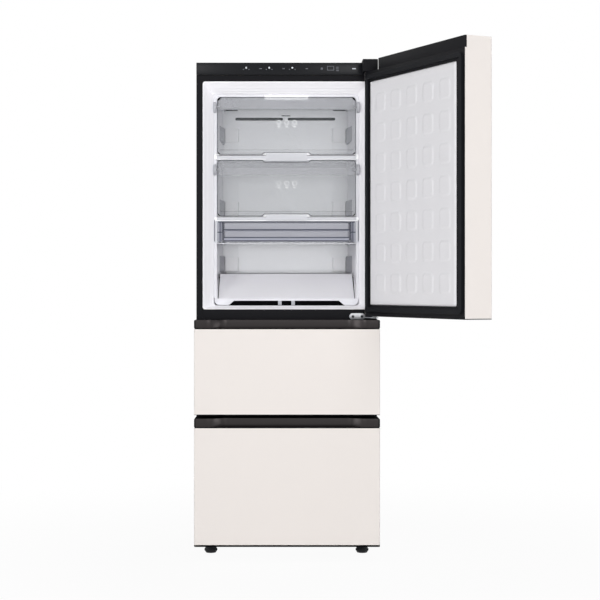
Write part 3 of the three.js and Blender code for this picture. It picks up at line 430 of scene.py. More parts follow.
class Sketch:
    """Draws closed solids in millimetres into one mesh."""

    def __init__(self, place: Placer = in_cabinet) -> None:
        """Starts an empty mesh whose points go through the placer."""
        self.mesh = bmesh.new()
        self.place = place
        self.side = 1

    def both(self) -> Iterator[None]:
        """Runs a loop twice, and mirrors to the left what it draws in its second run."""
        for side in (1, -1):
            self.side = side
            yield
        self.side = 1

    def loft(
        self, rings: Sequence[Spots], slot: int = 0, caps: bool = True, closed: bool = False
    ) -> Sketch:
        """Stretches a skin over rings of equal point count.

        Args:
            rings: The rings, each a list of points.
            slot: The number of the material that the skin gets.
            caps: Whether the first and last ring are closed.
            closed: Whether the last ring joins the first one.

        Returns:
            This sketch.
        """
        add, side = self.mesh.verts.new, self.side
        made = [[add(self.place(x * side, y, z)) for x, y, z in ring] for ring in rings]
        faces = []
        count = len(made[0])
        for low, high in zip(made, made[1:] + made[:1] if closed else made[1:]):
            for i in range(count):
                j = (i + 1) % count
                faces.append(self.mesh.faces.new((low[i], low[j], high[j], high[i])))
        if caps and not closed:
            faces.append(self.mesh.faces.new(made[0][::-1]))
            faces.append(self.mesh.faces.new(made[-1]))
        for face in faces:
            face.material_index = slot
        return self

    def slab(self, outline: Spots, y0: float, y1: float, slot: int = 0, steps: int = 8) -> Sketch:
        """Pulls an outline of (x, z) points back from y0 to y1."""
        ring = corners(outline, steps)
        return self.loft([upright(ring, y) for y in (y0, y1)], slot)

    def twins(self, x: Point, z: Point, y: Point, r: float, slot: int = 0) -> Sketch:
        """Draws a bar that spans x, z and y on the right, and its mirror image on the left."""
        for _ in self.both():
            self.slab(rectangle(*x, *z, r), *y, slot)
        return self

    def column(self, outline: Spots, z0: float, z1: float, slot: int = 0, steps: int = 8) -> Sketch:
        """Pulls an outline of (x, y) points up from z0 to z1."""
        ring = corners(outline, steps)
        return self.loft([[(u, v, z) for u, v in ring] for z in (z0, z1)], slot)

    def girder(self, outline: Spots, x0: float, x1: float, slot: int = 0, steps: int = 8) -> Sketch:
        """Pulls an outline of (y, z) points along from x0 to x1."""
        ring = corners(outline, steps)
        return self.loft([[(x, u, v) for u, v in ring] for x in (x0, x1)], slot)

    def ring(self, outer: Spots, inner: Spots, y0: float, y1: float, slot: int = 0) -> Sketch:
        """Pulls what lies between two outlines of (x, z) points back from y0 to y1."""
        out, inn = corners(outer), corners(inner)
        loops = ((out, y0), (out, y1), (inn, y1), (inn, y0))
        return self.loft([upright(line, y) for line, y in loops], slot, closed=True)

    def turned(
        self, profile: Sequence[Point], at: Sequence[float], axis: str = "z", sides: int = 40,
        slot: int = 0,
    ) -> Sketch:
        """Turns a profile of (radius, height) points round an axis through a point."""
        rings = []
        for r, h in profile:
            ring = []
            for i in range(sides):
                angle = math.tau * i / sides
                u, v = r * math.cos(angle), r * math.sin(angle)
                spot = {"z": (u, v, h), "y": (u, h, v), "x": (h, u, v)}[axis]
                ring.append(tuple(a + b for a, b in zip(at, spot)))
            rings.append(ring)
        return self.loft(rings, slot)

    def finish(self, name: str, finishes: Sequence[Finish], soft: float = 0.0) -> Piece:
        """Closes the sketch into an object.

        Args:
            name: The object's name.
            finishes: The finish of each material number.
            soft: The width in millimetres by which sharp edges are rounded.

        Returns:
            The new object, with smooth shading where its faces flow on.
        """
        bmesh.ops.remove_doubles(self.mesh, verts=self.mesh.verts, dist=WELD)
        bmesh.ops.recalc_face_normals(self.mesh, faces=self.mesh.faces)
        data = bpy.data.meshes.new(name)
        self.mesh.to_mesh(data)
        self.mesh.free()
        return make_object(name, data, finishes, soft)


def make_object(name: str, data: bpy.types.Mesh, finishes: Sequence[Finish], soft: float) -> Piece:
    """Makes an object of a mesh, rounds its sharp edges and shades it.

    Args:
        name: The object's name.
        data: Its mesh.
        finishes: The finish of each material number.
        soft: The width in millimetres by which sharp edges are rounded, or 0.

    Returns:
        The new object, with no modifier left on it.
    """
    for finish in finishes:
        data.materials.append(finish.material())
    piece = add_object(name, data)
    if soft:
        edge = piece.modifiers.new("rounded", "BEVEL")
        edge.width = soft / 1000
        edge.segments = 3
        edge.limit_method = "ANGLE"
        edge.angle_limit = SHARP
        edge.miter_outer = "MITER_ARC"
        settle(piece)
    shade(piece.data)
    return piece


def shade(data: bpy.types.Mesh) -> None:
    """Shades a mesh smoothly wherever its faces meet at a small angle."""
    data.polygons.foreach_set("use_smooth", [True] * len(data.polygons))
    data.set_sharp_from_angle(angle=CREASE)
    data.update()


def settle(piece: Piece) -> None:
    """Turns an object's modifiers into a plain mesh."""
    graph = bpy.context.evaluated_depsgraph_get()
    made = bpy.data.meshes.new_from_object(piece.evaluated_get(graph), depsgraph=graph)
    old = piece.data
    piece.modifiers.clear()
    piece.data = made
    made.name = piece.name
    bpy.data.meshes.remove(old)


FRAME: dict = {}


def load_frame() -> None:
    """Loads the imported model, and keeps its box."""
    FRAME.update(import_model())


def body_of(node: str) -> str:
    """Gives the name of the body that a node belongs to."""
    bodies = FRAME["record"]["behaviour"]["bodies"]
    return next(body for body, nodes in bodies.items() if node in nodes)


def slot_of(node: str) -> str:
    """Gives the name of the material slot that the record gives a node."""
    return next(s["material_slot"] for s in FRAME["record"]["subparts"] if s["node"] == node)


def seat(piece: Piece, *nodes: str, like: str = "") -> None:
    """Puts a piece on its body.

    Args:
        piece: The piece.
        nodes: The nodes that it stands for.
        like: A node whose body it shares, where it stands for none; its slot is only looked up.
    """
    model = nodes[0] if nodes else like
    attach(piece, body_of(model))
    slot_of(model)
    if nodes:
        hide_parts(*nodes)
    LOG.info("%s: %d faces", piece.name, len(piece.data.polygons))


def clad(node: str, name: str, finish: Finish, soft: float = 0.0) -> None:
    """Puts a piece in a node's place with its shape, flat faces whole and sharp edges rounded."""
    mesh = bmesh.new()
    mesh.from_mesh(FRAME["nodes"][node].data)
    bmesh.ops.remove_doubles(mesh, verts=mesh.verts, dist=WELD)
    bmesh.ops.dissolve_limit(mesh, angle_limit=FLAT, verts=mesh.verts, edges=mesh.edges)
    data = bpy.data.meshes.new(name)
    mesh.to_mesh(data)
    mesh.free()
    data.materials.clear()
    seat(make_object(name, data, [finish], soft), node)


def dress(node: str, finish: Finish) -> None:
    """Gives a node that keeps its shape a finish."""
    for slot in FRAME["nodes"][node].material_slots:
        slot.material = finish.material()


# ---------------- patterns
class Pattern:
    """A Geometry Nodes tree that is built, run once on an empty mesh and baked."""

    def __init__(self, name: str, sizes: dict[str, float]) -> None:
        """Starts a tree whose named inputs are the given sizes, in metres or as counts."""
        group = bpy.data.node_groups.new(name, "GeometryNodeTree")
        group.interface.new_socket("Geometry", in_out="OUTPUT", socket_type="NodeSocketGeometry")
        self.sizes = sizes
        self.sockets = {}
        for label, value in sizes.items():
            kind = "NodeSocketInt" if isinstance(value, int) else "NodeSocketFloat"
            socket = group.interface.new_socket(label, in_out="INPUT", socket_type=kind)
            self.sockets[label] = socket
        self.group = group
        self.tree = Tree(group)
        self.inputs = self.tree.node("NodeGroupInput").outputs

    def size(self, label: str) -> Num:
        """Gives one of the named sizes."""
        return Num(self.tree, self.inputs[label])

    def vector(self, x: object = 0.0, y: object = 0.0, z: object = 0.0) -> Socket:
        """Joins three numbers into a vector."""
        return self.tree.node("ShaderNodeCombineXYZ", {0: x, 1: y, 2: z}).outputs[0]

    def make(self, kind: str, values: dict | None = None, **settings: object) -> Socket:
        """Adds a geometry node of a kind and gives its first output."""
        return self.tree.node("GeometryNode" + kind, values, **settings).outputs[0]

    def join(self, *parts: Socket) -> Socket:
        """Joins pieces of geometry into one."""
        joined = self.tree.node("GeometryNodeJoinGeometry")
        for part in parts:
            self.tree.tree.links.new(part, joined.inputs[0])
        return joined.outputs[0]

    def bake(self, geometry: Socket, name: str, finish: Finish, place: Matrix) -> Piece:
        """Runs the tree.

        Args:
            geometry: The socket that carries the finished geometry.
            name: The name of the object.
            finish: Its finish.
            place: The turn and shift that bring the drawn pattern to its place.

        Returns:
            A plain mesh object at the origin.
        """
        real = self.make("RealizeInstances", {0: geometry})
        named = self.make("SetMaterial", {0: real, "Material": finish.material()})
        self.tree.node("NodeGroupOutput", {0: named})
        piece = add_object(name, bpy.data.meshes.new(name))
        maker = piece.modifiers.new(name, "NODES")
        maker.node_group = self.group
        for label, value in self.sizes.items():
            maker[self.sockets[label].identifier] = value
        settle(piece)
        piece.data.transform(place)
        if place.determinant() < 0:
            piece.data.flip_normals()
        shade(piece.data)
        return piece


def gasket(place: Placer, box: Box, low: float, inner: Sequence[float]) -> Sketch:
    """Extrudes a magnetic gasket: a bellows with a flat sealing lip.

    Args:
        place: Brings the drawn points to their place.
        box: The outline of the seal's middle, as x and z limits.
        low: The depth of the seat that it stands on.
        inner: How far its inner side reaches past the middle, from the lip to the seat.

    Returns:
        The sketch that holds it.
    """
    high = FRAME_FACE
    outer = (-8.5, -8.5, -5.5, -8.8, -8.8, -7.8)
    depths = (low, low + 1.4, low + 2.6, low + 4.2, high - 1.0, high,
              high, high - 1.2, low + 4.6, low + 3.0, low + 1.2, low)
    x0, x1, z0, z1 = box
    rings = []
    for offset, y in zip((*outer, *inner), depths):
        loop = rectangle(x0 - offset, x1 + offset, z0 - offset, z1 + offset, 12 + offset)
        rings.append(upright(corners(loop), y))
    return Sketch(place).loft(rings, caps=False, closed=True)


def door_matrix(x: float, y: float, z: float) -> Matrix:
    """Brings a pattern drawn on (x, height, z) of the shut door, around a point, to its place."""
    turn = Matrix.Rotation(DOOR_OPEN, 4, "Z")
    return Matrix.Translation(on_door(x, y, z)) @ turn


def screws(
    name: str, spots: Spots, facing: Sequence[float], finish: Finish, like: str, width: float
) -> None:
    """Makes one piece of cross-head screws at a row of spots.

    Args:
        name: The name of the piece.
        spots: The middles of the heads in cabinet millimetres.
        facing: The direction that the heads face.
        finish: Their finish.
        like: The node that carries them.
        width: The width of a head in metres.
    """
    pattern = Pattern(name, {"Head": width, "Slot": width * 0.16})
    make, vector = pattern.make, pattern.vector
    head, slot = pattern.size("Head"), pattern.size("Slot")
    sizes = {"Vertices": 20, "Radius": head * 0.5, "Depth": head * 0.22}
    disc = make("MeshCylinder", sizes, fill_type="NGON")
    ball = make("MeshUVSphere", {"Segments": 20, "Rings": 8, "Radius": head * 0.5})
    low = {"Geometry": ball, "Scale": (1.0, 1.0, 0.32), "Translation": vector(z=head * 0.1)}
    dome = make("Transform", low)
    bar = make("MeshCube", {"Size": vector(head * 0.62, slot, head * 0.34)})
    turned = make("Transform", {"Geometry": bar, "Rotation": (0.0, 0.0, math.pi / 2)})
    high = {"Geometry": pattern.join(bar, turned), "Translation": vector(z=head * 0.3)}
    solids = {"Mesh 1": pattern.join(disc, dome), "Mesh 2": make("Transform", high)}
    carved = make("MeshBoolean", solids, operation="DIFFERENCE")
    places = bpy.data.meshes.new(name + "_spots")
    places.from_pydata([in_cabinet(*spot) for spot in spots], [], [])
    carrier = add_object(name + "_spots", places)
    carried = {"Object": carrier}
    info = pattern.tree.node("GeometryNodeObjectInfo", carried, transform_space="ORIGINAL")
    aim = Vector((0, 0, 1)).rotation_difference(Vector(facing)).to_euler()
    points = info.outputs["Geometry"]
    rows = make("InstanceOnPoints", {"Points": points, "Instance": carved, "Rotation": tuple(aim)})
    piece = pattern.bake(rows, name, finish, Matrix.Identity(4))
    bpy.data.objects.remove(carrier)
    seat(piece, like=like)


# ---------------- the studio
@dataclass
class Studio:
    """The floor, the lights and the camera."""

    focal_pixels: float = 1535.0
    centre_x: float = 270.5
    horizon_y: float = 286.0
    distance: float = 5496.0
    camera_x: float = -59.1
    camera_z: float = 983.0
    floor_size: float = 120.0

    def build(self) -> None:
        """Sets up the camera, the backdrop, the floor and the softboxes."""
        self._camera()
        self._world()
        self._floor()
        self._softbox("key_light", (-3.4, -5.4, 3.0), (2.8, 2.4), 105)
        self._softbox("fill_light", (2.4, -6.0, 3.0), (3.0, 2.4), 100)
        self._softbox("front_light", (-0.2, -11.0, 0.9), (5.0, 1.7), 580, gloss=False)
        self._softbox("left_strip", (-4.2, -1.4, 0.9), (0.6, 2.6), 30)
        self._softbox("right_strip", (4.2, -1.4, 0.9), (0.6, 2.6), 30)
        self._softbox("rear_light", (1.4, 4.4, 3.4), (3.0, 2.0), 110)

    def _camera(self) -> None:
        """Stands the camera where the photograph was taken from."""
        lens = bpy.data.cameras.new("camera")
        lens.sensor_width = SENSOR
        lens.sensor_fit = "HORIZONTAL"
        lens.lens = self.focal_pixels / FRAME_PIXELS * SENSOR
        lens.shift_x = (FRAME_PIXELS / 2 - self.centre_x) / FRAME_PIXELS
        lens.shift_y = (self.horizon_y - FRAME_PIXELS / 2) / FRAME_PIXELS
        lens.clip_end = 300.0
        camera = add_object("camera", lens)
        camera.location = in_cabinet(self.camera_x, -self.distance, self.camera_z)
        camera.rotation_euler = (math.pi / 2, 0.0, 0.0)
        bpy.context.scene.camera = camera

    def _seen(self, tree: Tree) -> Num:
        """Gives 1 for rays that show the background as such."""
        rays = tree.node("ShaderNodeLightPath").outputs
        kinds = ("Camera", "Glossy", "Transmission")
        straight, glossy, through = (Num(tree, rays[f"Is {kind} Ray"]) for kind in kinds)
        return straight.above(glossy).above(through)

    def _world(self) -> None:
        """Makes a soft surrounding light behind a white backdrop."""
        world = bpy.data.worlds.new("studio")
        world.use_nodes = True
        tree = Tree(world.node_tree)
        soft = tree.shader("Background", {"Color": SKY, "Strength": 0.08})
        white = tree.shader("Background", {"Color": PURE_WHITE, "Strength": 1.0})
        both = tree.shader("MixShader", {0: self._seen(tree), 1: soft, 2: white})
        tree.node("ShaderNodeOutputWorld", {"Surface": both})
        bpy.context.scene.world = world

    def _floor(self) -> None:
        """Lays a pale floor that shows nearly white and keeps a soft shadow."""
        half = self.floor_size / 2
        data = bpy.data.meshes.new("floor")
        spots = [(u, v, 0.0) for u, v, _ in rectangle(-half, half, -half, half)]
        data.from_pydata(spots, [], [(0, 1, 2, 3)])
        material = bpy.data.materials.new("pale_floor")
        material.use_nodes = True
        tree = Tree(material.node_tree)
        place = tree.node("ShaderNodeTexCoord").outputs["Object"]
        pale, dim = (0.68, 0.68, 0.68, 1.0), (0.63, 0.63, 0.63, 1.0)
        tone = tree.blend(tree.noise(place, 3.0) * 0.4, pale, dim)
        matt = tree.shader("BsdfDiffuse", {"Color": tone})
        white = tree.shader("Emission", {"Color": PURE_WHITE, "Strength": 1.0})
        x, y, _ = tree.axes(place)
        far = (x * x + y * y).root().smooth(0.5, 2.4)
        factor = self._seen(tree) * (0.95 + far * 0.05)
        both = tree.shader("MixShader", {0: factor, 1: matt, 2: white})
        tree.node("ShaderNodeOutputMaterial", {"Surface": both})
        data.materials.append(material)
        floor = add_object("floor", data)

    def _softbox(
        self, name: str, at: Sequence[float], size: Point, power: float, gloss: bool = True
    ) -> None:
        """Hangs one softbox that faces the middle of the refrigerator."""
        light = bpy.data.lights.new(name, "AREA")
        light.shape = "RECTANGLE"
        light.size, light.size_y = size
        light.energy = power
        lamp = add_object(name, light)
        lamp.location = at
        lamp.visible_glossy = gloss
        aim = in_cabinet(0, 300, 950) - Vector(at)
        lamp.rotation_euler = aim.to_track_quat("-Z", "Y").to_euler()


# ---------------- the cabinet
@dataclass
class Cabinet:
    """The case, its black front and everything that is fixed to its outside."""

    face: float = 109.0
    back: float = 728.6
    screw_rows: tuple[float, ...] = (300.0, 680.0, 1080.0, 1480.0, 1772.0)
    trios: tuple[float, ...] = (-147.8, -63.8, 20.5)
    dashes: tuple[float, ...] = (-95.6, -11.3, 73.5)

    def build(self) -> None:
        """Makes the cabinet's pieces."""
        for node, name, finish, soft in (
            ("outer_case", "case_sheet", BEIGE, 0.0),
            ("front_frame", "black_front_frame", RAIL_BLACK, 0.8),
            ("control_panel", "touch_panel", PANEL_BLACK, 1.0),
            ("back_panel", "rear_sheet", ZINC, 0.5),
            ("base_pan", "base_tray", ZINC, 0.0),
            ("machine_cover", "louvred_cover", ZINC, 0.0),
            ("control_board_cover", "board_lid", ZINC, 0.6),
            ("power_inlet", "mains_inlet", NYLON, 0.3),
            ("top_hinge_cover", "hinge_cap", BLACK, 1.6),
            ("top_hinge", "upper_hinge_bracket", STEEL, 0.4),
        ):
            clad(node, name, finish, soft)
        dress("cabinet_foam", FOAM)
        self._marks()
        self._screws()

    def _marks(self) -> None:
        """Prints the panel's touch marks: plain dots, dashes and outlines."""
        sketch = Sketch()
        front, back = self.face - 0.28, self.face + 0.9

        def dab(x: float, z: float, w: float, h: float, r: float, slot: int = 0) -> None:
            """Prints one rounded mark around a point."""
            outline = rectangle(x - w / 2, x + w / 2, z - h / 2, z + h / 2, r)
            sketch.slab(outline, front, back, slot, steps=4)

        for x in self.trios:
            dab(x, 1780.0, 6.4, 6.4, 3.1)
            for side in SIDES:
                dab(x + side * 10.0, 1774.0, 4.4, 3.0, 1.2, 1)
        for x in self.dashes:
            dab(x, 1776.6, 9.0, 3.0, 1.3, 1)
        dab(246.0, 1776.4, 14.0, 3.6, 1.6)
        dab(128.0, 1776.6, 8.0, 7.4, 1.5, 1)
        for z in (1782.0, 1775.6, 1769.2):
            dab(185.4, z, 10.0, 2.6, 1.0, 1)
        for z in (1785.4, 1771.4):
            dab(160.0, z, 25.0, 1.9, 0.8, 1)
        for x in (148.4, 171.6):
            dab(x, 1778.4, 1.9, 12.6, 0.8, 1)
        seat(sketch.finish("panel_marks", [MARK, DIM_MARK]), like="control_panel")

    def _screws(self) -> None:
        """Drives the screws of the rear sheet, the louvred cover and the board's lid."""
        y = self.back
        edge = [(side * 318.0, y, z) for side in SIDES for z in self.screw_rows]
        edge += [(x, y, z) for x in (-200.0, 80.0, 240.0) for z in (1788.0, 274.0)]
        edge += [(side * 314.0, y, z) for side in SIDES for z in (82.0, 166.0, 250.0)]
        screws("rear_screws", edge, (0, 1, 0), STEEL, "back_panel", 0.009)


@dataclass
class Underside:
    """The levelling feet and the rollers."""

    foot_x: float = 279.0
    foot_y: float = 173.0
    ribs: int = 28

    def build(self) -> None:
        """Makes the feet and rollers."""
        for side, name in ((-1, "left"), (1, "right")):
            self._foot(side, name)
            clad(f"rear_{name}_roller", f"{name}_roller_wheel", NYLON, 0.5)

    def _foot(self, side: int, name: str) -> None:
        """Turns one foot, with its knurled skirt, shoulder, nut and threaded stud."""
        node = f"front_{name}_foot"
        at = (side * self.foot_x, self.foot_y, 0.0)
        thread = [(5.0 if k % 2 else 4.4, 26.0 + k * 0.75) for k in range(48)]
        profile = [(0.01, 0), (18.0, 0), (18.9, 0.8), (20.8, 4.2), (22.6, 7.2), (22.9, 8.6),
                   (22.9, 13.6), (22.4, 15.0), (20.6, 18.6), (19.2, 20.0), (10.5, 21.0),
                   (9.2, 24.0), (5.2, 25.0), *thread, (0.01, 62)]
        sketch = Sketch().turned(profile, at, sides=48)
        seat(sketch.finish(f"{name}_foot_body", [NYLON]), node)
        sizes = {"Ribs": self.ribs, "Radius": 0.0227, "Width": 0.0024, "Height": 0.006}
        pattern = Pattern(f"{name}_foot_ribs", sizes)
        make, size = pattern.make, pattern.size
        ring = make("MeshCircle", {"Vertices": size("Ribs"), "Radius": size("Radius")})
        bar = {"Vertices": 8, "Radius": size("Width") * 0.5, "Depth": size("Height")}
        rib = make("MeshCylinder", bar, fill_type="NGON")
        rows = make("InstanceOnPoints", {"Points": ring, "Instance": rib})
        place = Matrix.Translation(in_cabinet(at[0], at[1], 11.0))
        seat(pattern.bake(rows, f"{name}_foot_ribs", NYLON, place), like=node)


# ---------------- hinges
@dataclass
class LowerHinge:
    """The plated hinge that carries the door from below."""

    face: float = FRAME_FACE
    plate: Box = (229.0, 287.0, 860.0, 883.5)
    screws: Point = (242.0, 275.0)
    screw_z: float = 871.5

    def build(self) -> None:
        """Makes the hinge's plate with its arm and pin, and the two hexagon socket screws."""
        px, py = PIVOT
        face = self.face
        sketch = Sketch().slab(rectangle(*self.plate, 11.7), face - 3, face, steps=12)
        sketch.column(
            [(281.5, face), (281.5, face - 9, 5), (px - 13, py - 13, 11), (px + 14, py - 14, 12),
             (px + 14, py + 14, 12), (px - 20, face - 2, 8), (px - 24, face)],
            865.5, 870,
        )
        collar = [(0.01, 869.6), (7.5, 869.6), (7.5, 872.8), (5, 873.0), (5, 891.5), (4.2, 892.5),
                  (0.01, 892.5)]
        sketch.turned(collar, (px, py, 0))
        head = [(0.01, -2.6), (2.6, -2.6), (2.6, -5.0), (4.7, -5.0), (5.2, -4.5), (5.2, -2.4),
                (0.01, -2.4)]
        socket = [(0.01, -2.7), (2.55, -2.7), (2.55, -4.4), (0.01, -4.4)]
        # The black hexagon in each head is painted shade inside its socket.
        sockets = Sketch()
        for x in self.screws:
            sketch.turned(head, (x, face, self.screw_z), "y", 24, 1)
            sockets.turned(socket, (x, face, self.screw_z), "y", 6)
        seat(sketch.finish("lower_hinge_plate", [STEEL, DARK], 0.4), "lower_hinge")
        seat(sockets.finish("hinge_screw_sockets", [PAINTED_SHADE_BLACK]), like="lower_hinge")


# ---------------- the door
@dataclass
class Door:
    """The door, drawn shut and placed standing open."""

    panel: Box = (-282.0, 293.0, 915.0, 1719.0)
    thickness: float = 105.0
    columns: int = 5
    rows: int = 7
    squares: Box = (-254.8, 280.2, 938.2, 1690.8)

    def build(self) -> None:
        """Makes the door's pieces."""
        for node, name, finish, soft in (
            ("door_skin", "door_sheet", BEIGE, 0.0),
            ("door_frame", "door_inner_frame", BLACK, 1.2),
            ("door_top_cap", "door_upper_cap", BLACK, 1.0),
            ("door_bottom_cap", "door_lower_cap", BLACK, 1.0),
        ):
            clad(node, name, finish, soft)
        dress("door_foam", FOAM)
        self._hem()
        self._panel()
        self._gasket()

    def _hem(self) -> None:
        """Folds the sheet's lower hem round the bottom cap."""
        out, inn, front, back, low, high = 333.05, 332.6, -0.05, 104.0, 876.4, 884.7
        fold = mirrored([(out, front, 4.22), (out, back), (inn, back), (inn, 0.4, 3.5)])
        sketch = Sketch(on_door).column(fold, low, high)
        seat(sketch.finish("door_sheet_hem", [BEIGE]), like="door_skin")

    def _panel(self) -> None:
        """Forms the inner panel: a crowned sheet with a field of raised rounded squares."""
        x0, x1, z0, z1 = (v / 1000 for v in self.panel)
        s0, s1, t0, t1 = (v / 1000 for v in self.squares)
        sizes = {"Width": x1 - x0, "Height": z1 - z0, "Rise": 0.0014, "Crown": 0.0026}
        pattern = Pattern("door_panel_form", sizes | {"Corner": 0.013, "Share": 0.6})
        labels = ("Width", "Height", "Share", "Corner")
        width, high, share, corner = (pattern.size(label) for label in labels)
        mesh = {"Size X": width, "Size Y": high, "Vertices X": 190, "Vertices Y": 266}
        grid = pattern.make("MeshGrid", mesh)
        x, y, _ = pattern.tree.axes(pattern.make("InputPosition"))
        u, v = x - (s0 + s1 - x0 - x1) / 2, y - (t0 + t1 - z0 - z1) / 2
        pitch_x, pitch_y = (s1 - s0) / self.columns, (t1 - t0) / self.rows
        dx = (abs(u.wrapped(pitch_x)) - (share * (pitch_x / 2) - corner)).above(0.0)
        dy = (abs(v.wrapped(pitch_y)) - (share * (pitch_y / 2) - corner)).above(0.0)
        raised = 1.0 - ((dx * dx + dy * dy).root() - corner).smooth(-0.005, 0.004)
        inside = 1.0 - (abs(u) - (s1 - s0) / 2).above(abs(v) - (t1 - t0) / 2).smooth(-0.001, 0.0)
        rim = (width * 0.5 - abs(x)).below(high * 0.5 - abs(y))
        crown = rim.smooth(0.0, 0.012) * pattern.size("Crown") + rim.smooth(0.0, 0.0016) * 0.004
        height = raised * inside * pattern.size("Rise") + crown - 0.0046
        moved = pattern.make("SetPosition", {"Geometry": grid, "Offset": pattern.vector(z=height)})
        middle = 500 * (x0 + x1), self.thickness, 500 * (z0 + z1)
        stand = Matrix(((-1, 0, 0, 0), (0, 0, 1, 0), (0, 1, 0, 0), (0, 0, 0, 1)))
        piece = pattern.bake(moved, "door_inner_panel", PANEL_WHITE, door_matrix(*middle) @ stand)
        seat(piece, "door_liner")

    def _gasket(self) -> None:
        """Seals the door all round its inner side."""
        inner = (6.5, 7.8, 7.0, 3.5, 7.6, 7.6)
        sketch = gasket(on_door, (-315.5, 308.2, 897.5, 1736.5), self.thickness + 0.3, inner)
        seat(sketch.finish("door_seal", [GASKET]), "door_gasket")


# ---------------- drawers
@dataclass
class Drawer:
    """One pull-out drawer: its front with the grip, its seal, carrier, bin and fixed rails."""

    name: str
    high: float
    top: float
    room: Point
    lip: Point | None = None
    flush: float = 290.0
    deep: float = 214.0
    depth: float = 36.0
    gap: float = 4.7
    half: float = 328.2
    inner_half: float = 331.4

    def build(self) -> None:
        """Makes the drawer's pieces."""
        for old, new, finish, soft in (
            ("drawer_front", "front_sheet", BEIGE, 0.0),
            ("drawer_core", "front_core", BLACK, 0.8),
            ("drawer_carrier", "runners", STEEL, 0.3),
            ("drawer_bin", "tub", BIN_CLEAR, 0.6),
            ("liner", "room_wall", WHITE, 0.6),
            ("left_rail", "left_slide", STEEL, 0.2),
            ("right_rail", "right_slide", STEEL, 0.2),
        ):
            clad(f"{self.name}_{old}", f"{self.name}_{new}", finish, soft)
        if self.lip:
            bead = Sketch().column(mirrored([(332.8, 0, 4), (332.8, 3)]), *self.lip)
            bead = bead.finish(f"{self.name}_front_lip", [LIP_GREY])
            seat(bead, like=f"{self.name}_drawer_front")
        self._grip()
        self._seal()

    def _set_back(self, x: float) -> float:
        """Gives how far the grip's face is set back at x."""
        t = max(0.0, min(1.0, (self.flush - abs(x)) / (self.flush - self.deep)))
        return self.depth * (1 - math.cos(math.pi * t)) / 2

    def _grip(self) -> None:
        """Forms the grip: a cap whose face curves back into a trough for the fingers."""
        z0, z1 = self.high + self.gap, self.top
        curve = [-self.flush + (self.flush - self.deep) * k / 24 for k in range(25)]
        left = [-self.half, -326.0, -300.0, *curve]
        middle = sorted({side * x for x in left for side in SIDES} | {0.0})
        sketch = Sketch().loft([self._section(x) for x in middle])
        # The cheeks at the cap's ends are near black, painted shade.
        cheek = [self._section(x) for x in (self.half, 329.0, 330.6, 331.8, 332.6, 333.0)]
        high, back = self.high, self.depth
        base = high - 31.0
        wall = [(1.4, high - 0.3), (5.0, high - 0.3), (5.0, base + 6), (7.0, base + 2),
                (11.0, base), (back - 5, base), (back - 1, base + 2), (back, base + 6),
                (back, high + 1), (back + 5, high + 1), (back + 5, base - 4), (1.4, base - 4)]
        sketch.loft([[(x, y, z) for y, z in wall] for x in (-self.deep - 6, self.deep + 6)], slot=1)
        end = rectangle(self.deep + 0.5, self.deep + 6.5, 2.0, back + 4)
        half = self.inner_half
        wing = [(half, 1.6), (240.0, 37.6), (240.0, 42.0), (half, 42.0)]
        for _ in sketch.both():
            sketch.loft(cheek, slot=2)
            sketch.column(end, base - 3, high - 0.5, slot=1)
            sketch.column(wing, high - 5.8, z0 + 0.6, slot=1)
        sketch.column(rectangle(-half, half, 40, 103), high - 5.8, z0 + 0.6, slot=1)
        # The near-black lid along the top is painted shade in the gap over the grip.
        lid = [(x, self._set_back(x) + 2.4) for x in middle]
        sketch.column([*lid, (self.half, 103.0), (-self.half, 103.0)], z1 - 0.4, z1 + 0.2, slot=2)
        cap = sketch.finish(f"{self.name}_grip_cap", [BRONZE, BLACK, PAINTED_SHADE_BLACK])
        seat(cap, f"{self.name}_drawer_grip")

    def _section(self, x: float) -> Line:
        """Gives the cap's outline at x, set back in the trough and rounded at the ends."""
        inset, r = self._set_back(x), 1.4
        low = self.high + self.gap - 4.2 * inset / self.depth
        drop = max(0.0, abs(x) - 329.0)
        crest = self.top - 4 + math.sqrt(16 - drop * drop)
        turns = [k * math.pi / 8 for k in range(5)]
        top = [(inset + r - r * math.cos(a), crest - r + r * math.sin(a)) for a in turns]
        under = [(y, low + crest - z) for y, z in reversed(top)]
        back = [(104.0, crest - 1), (104.6, crest - 2), (104.6, low)]
        return [(x, y, z) for y, z in [*under, *top, *back]]

    def _seal(self) -> None:
        """Seals the front all round its core."""
        inner = (7.0, 8.4, 7.4, 4.0, 8.2, 8.2)
        box = (-308.5, 308.5, self.room[0] - 5.0, self.top - 19.0)
        sketch = gasket(in_cabinet, box, 105.3, inner)
        seat(sketch.finish(f"{self.name}_drawer_seal", [GASKET]), f"{self.name}_drawer_gasket")


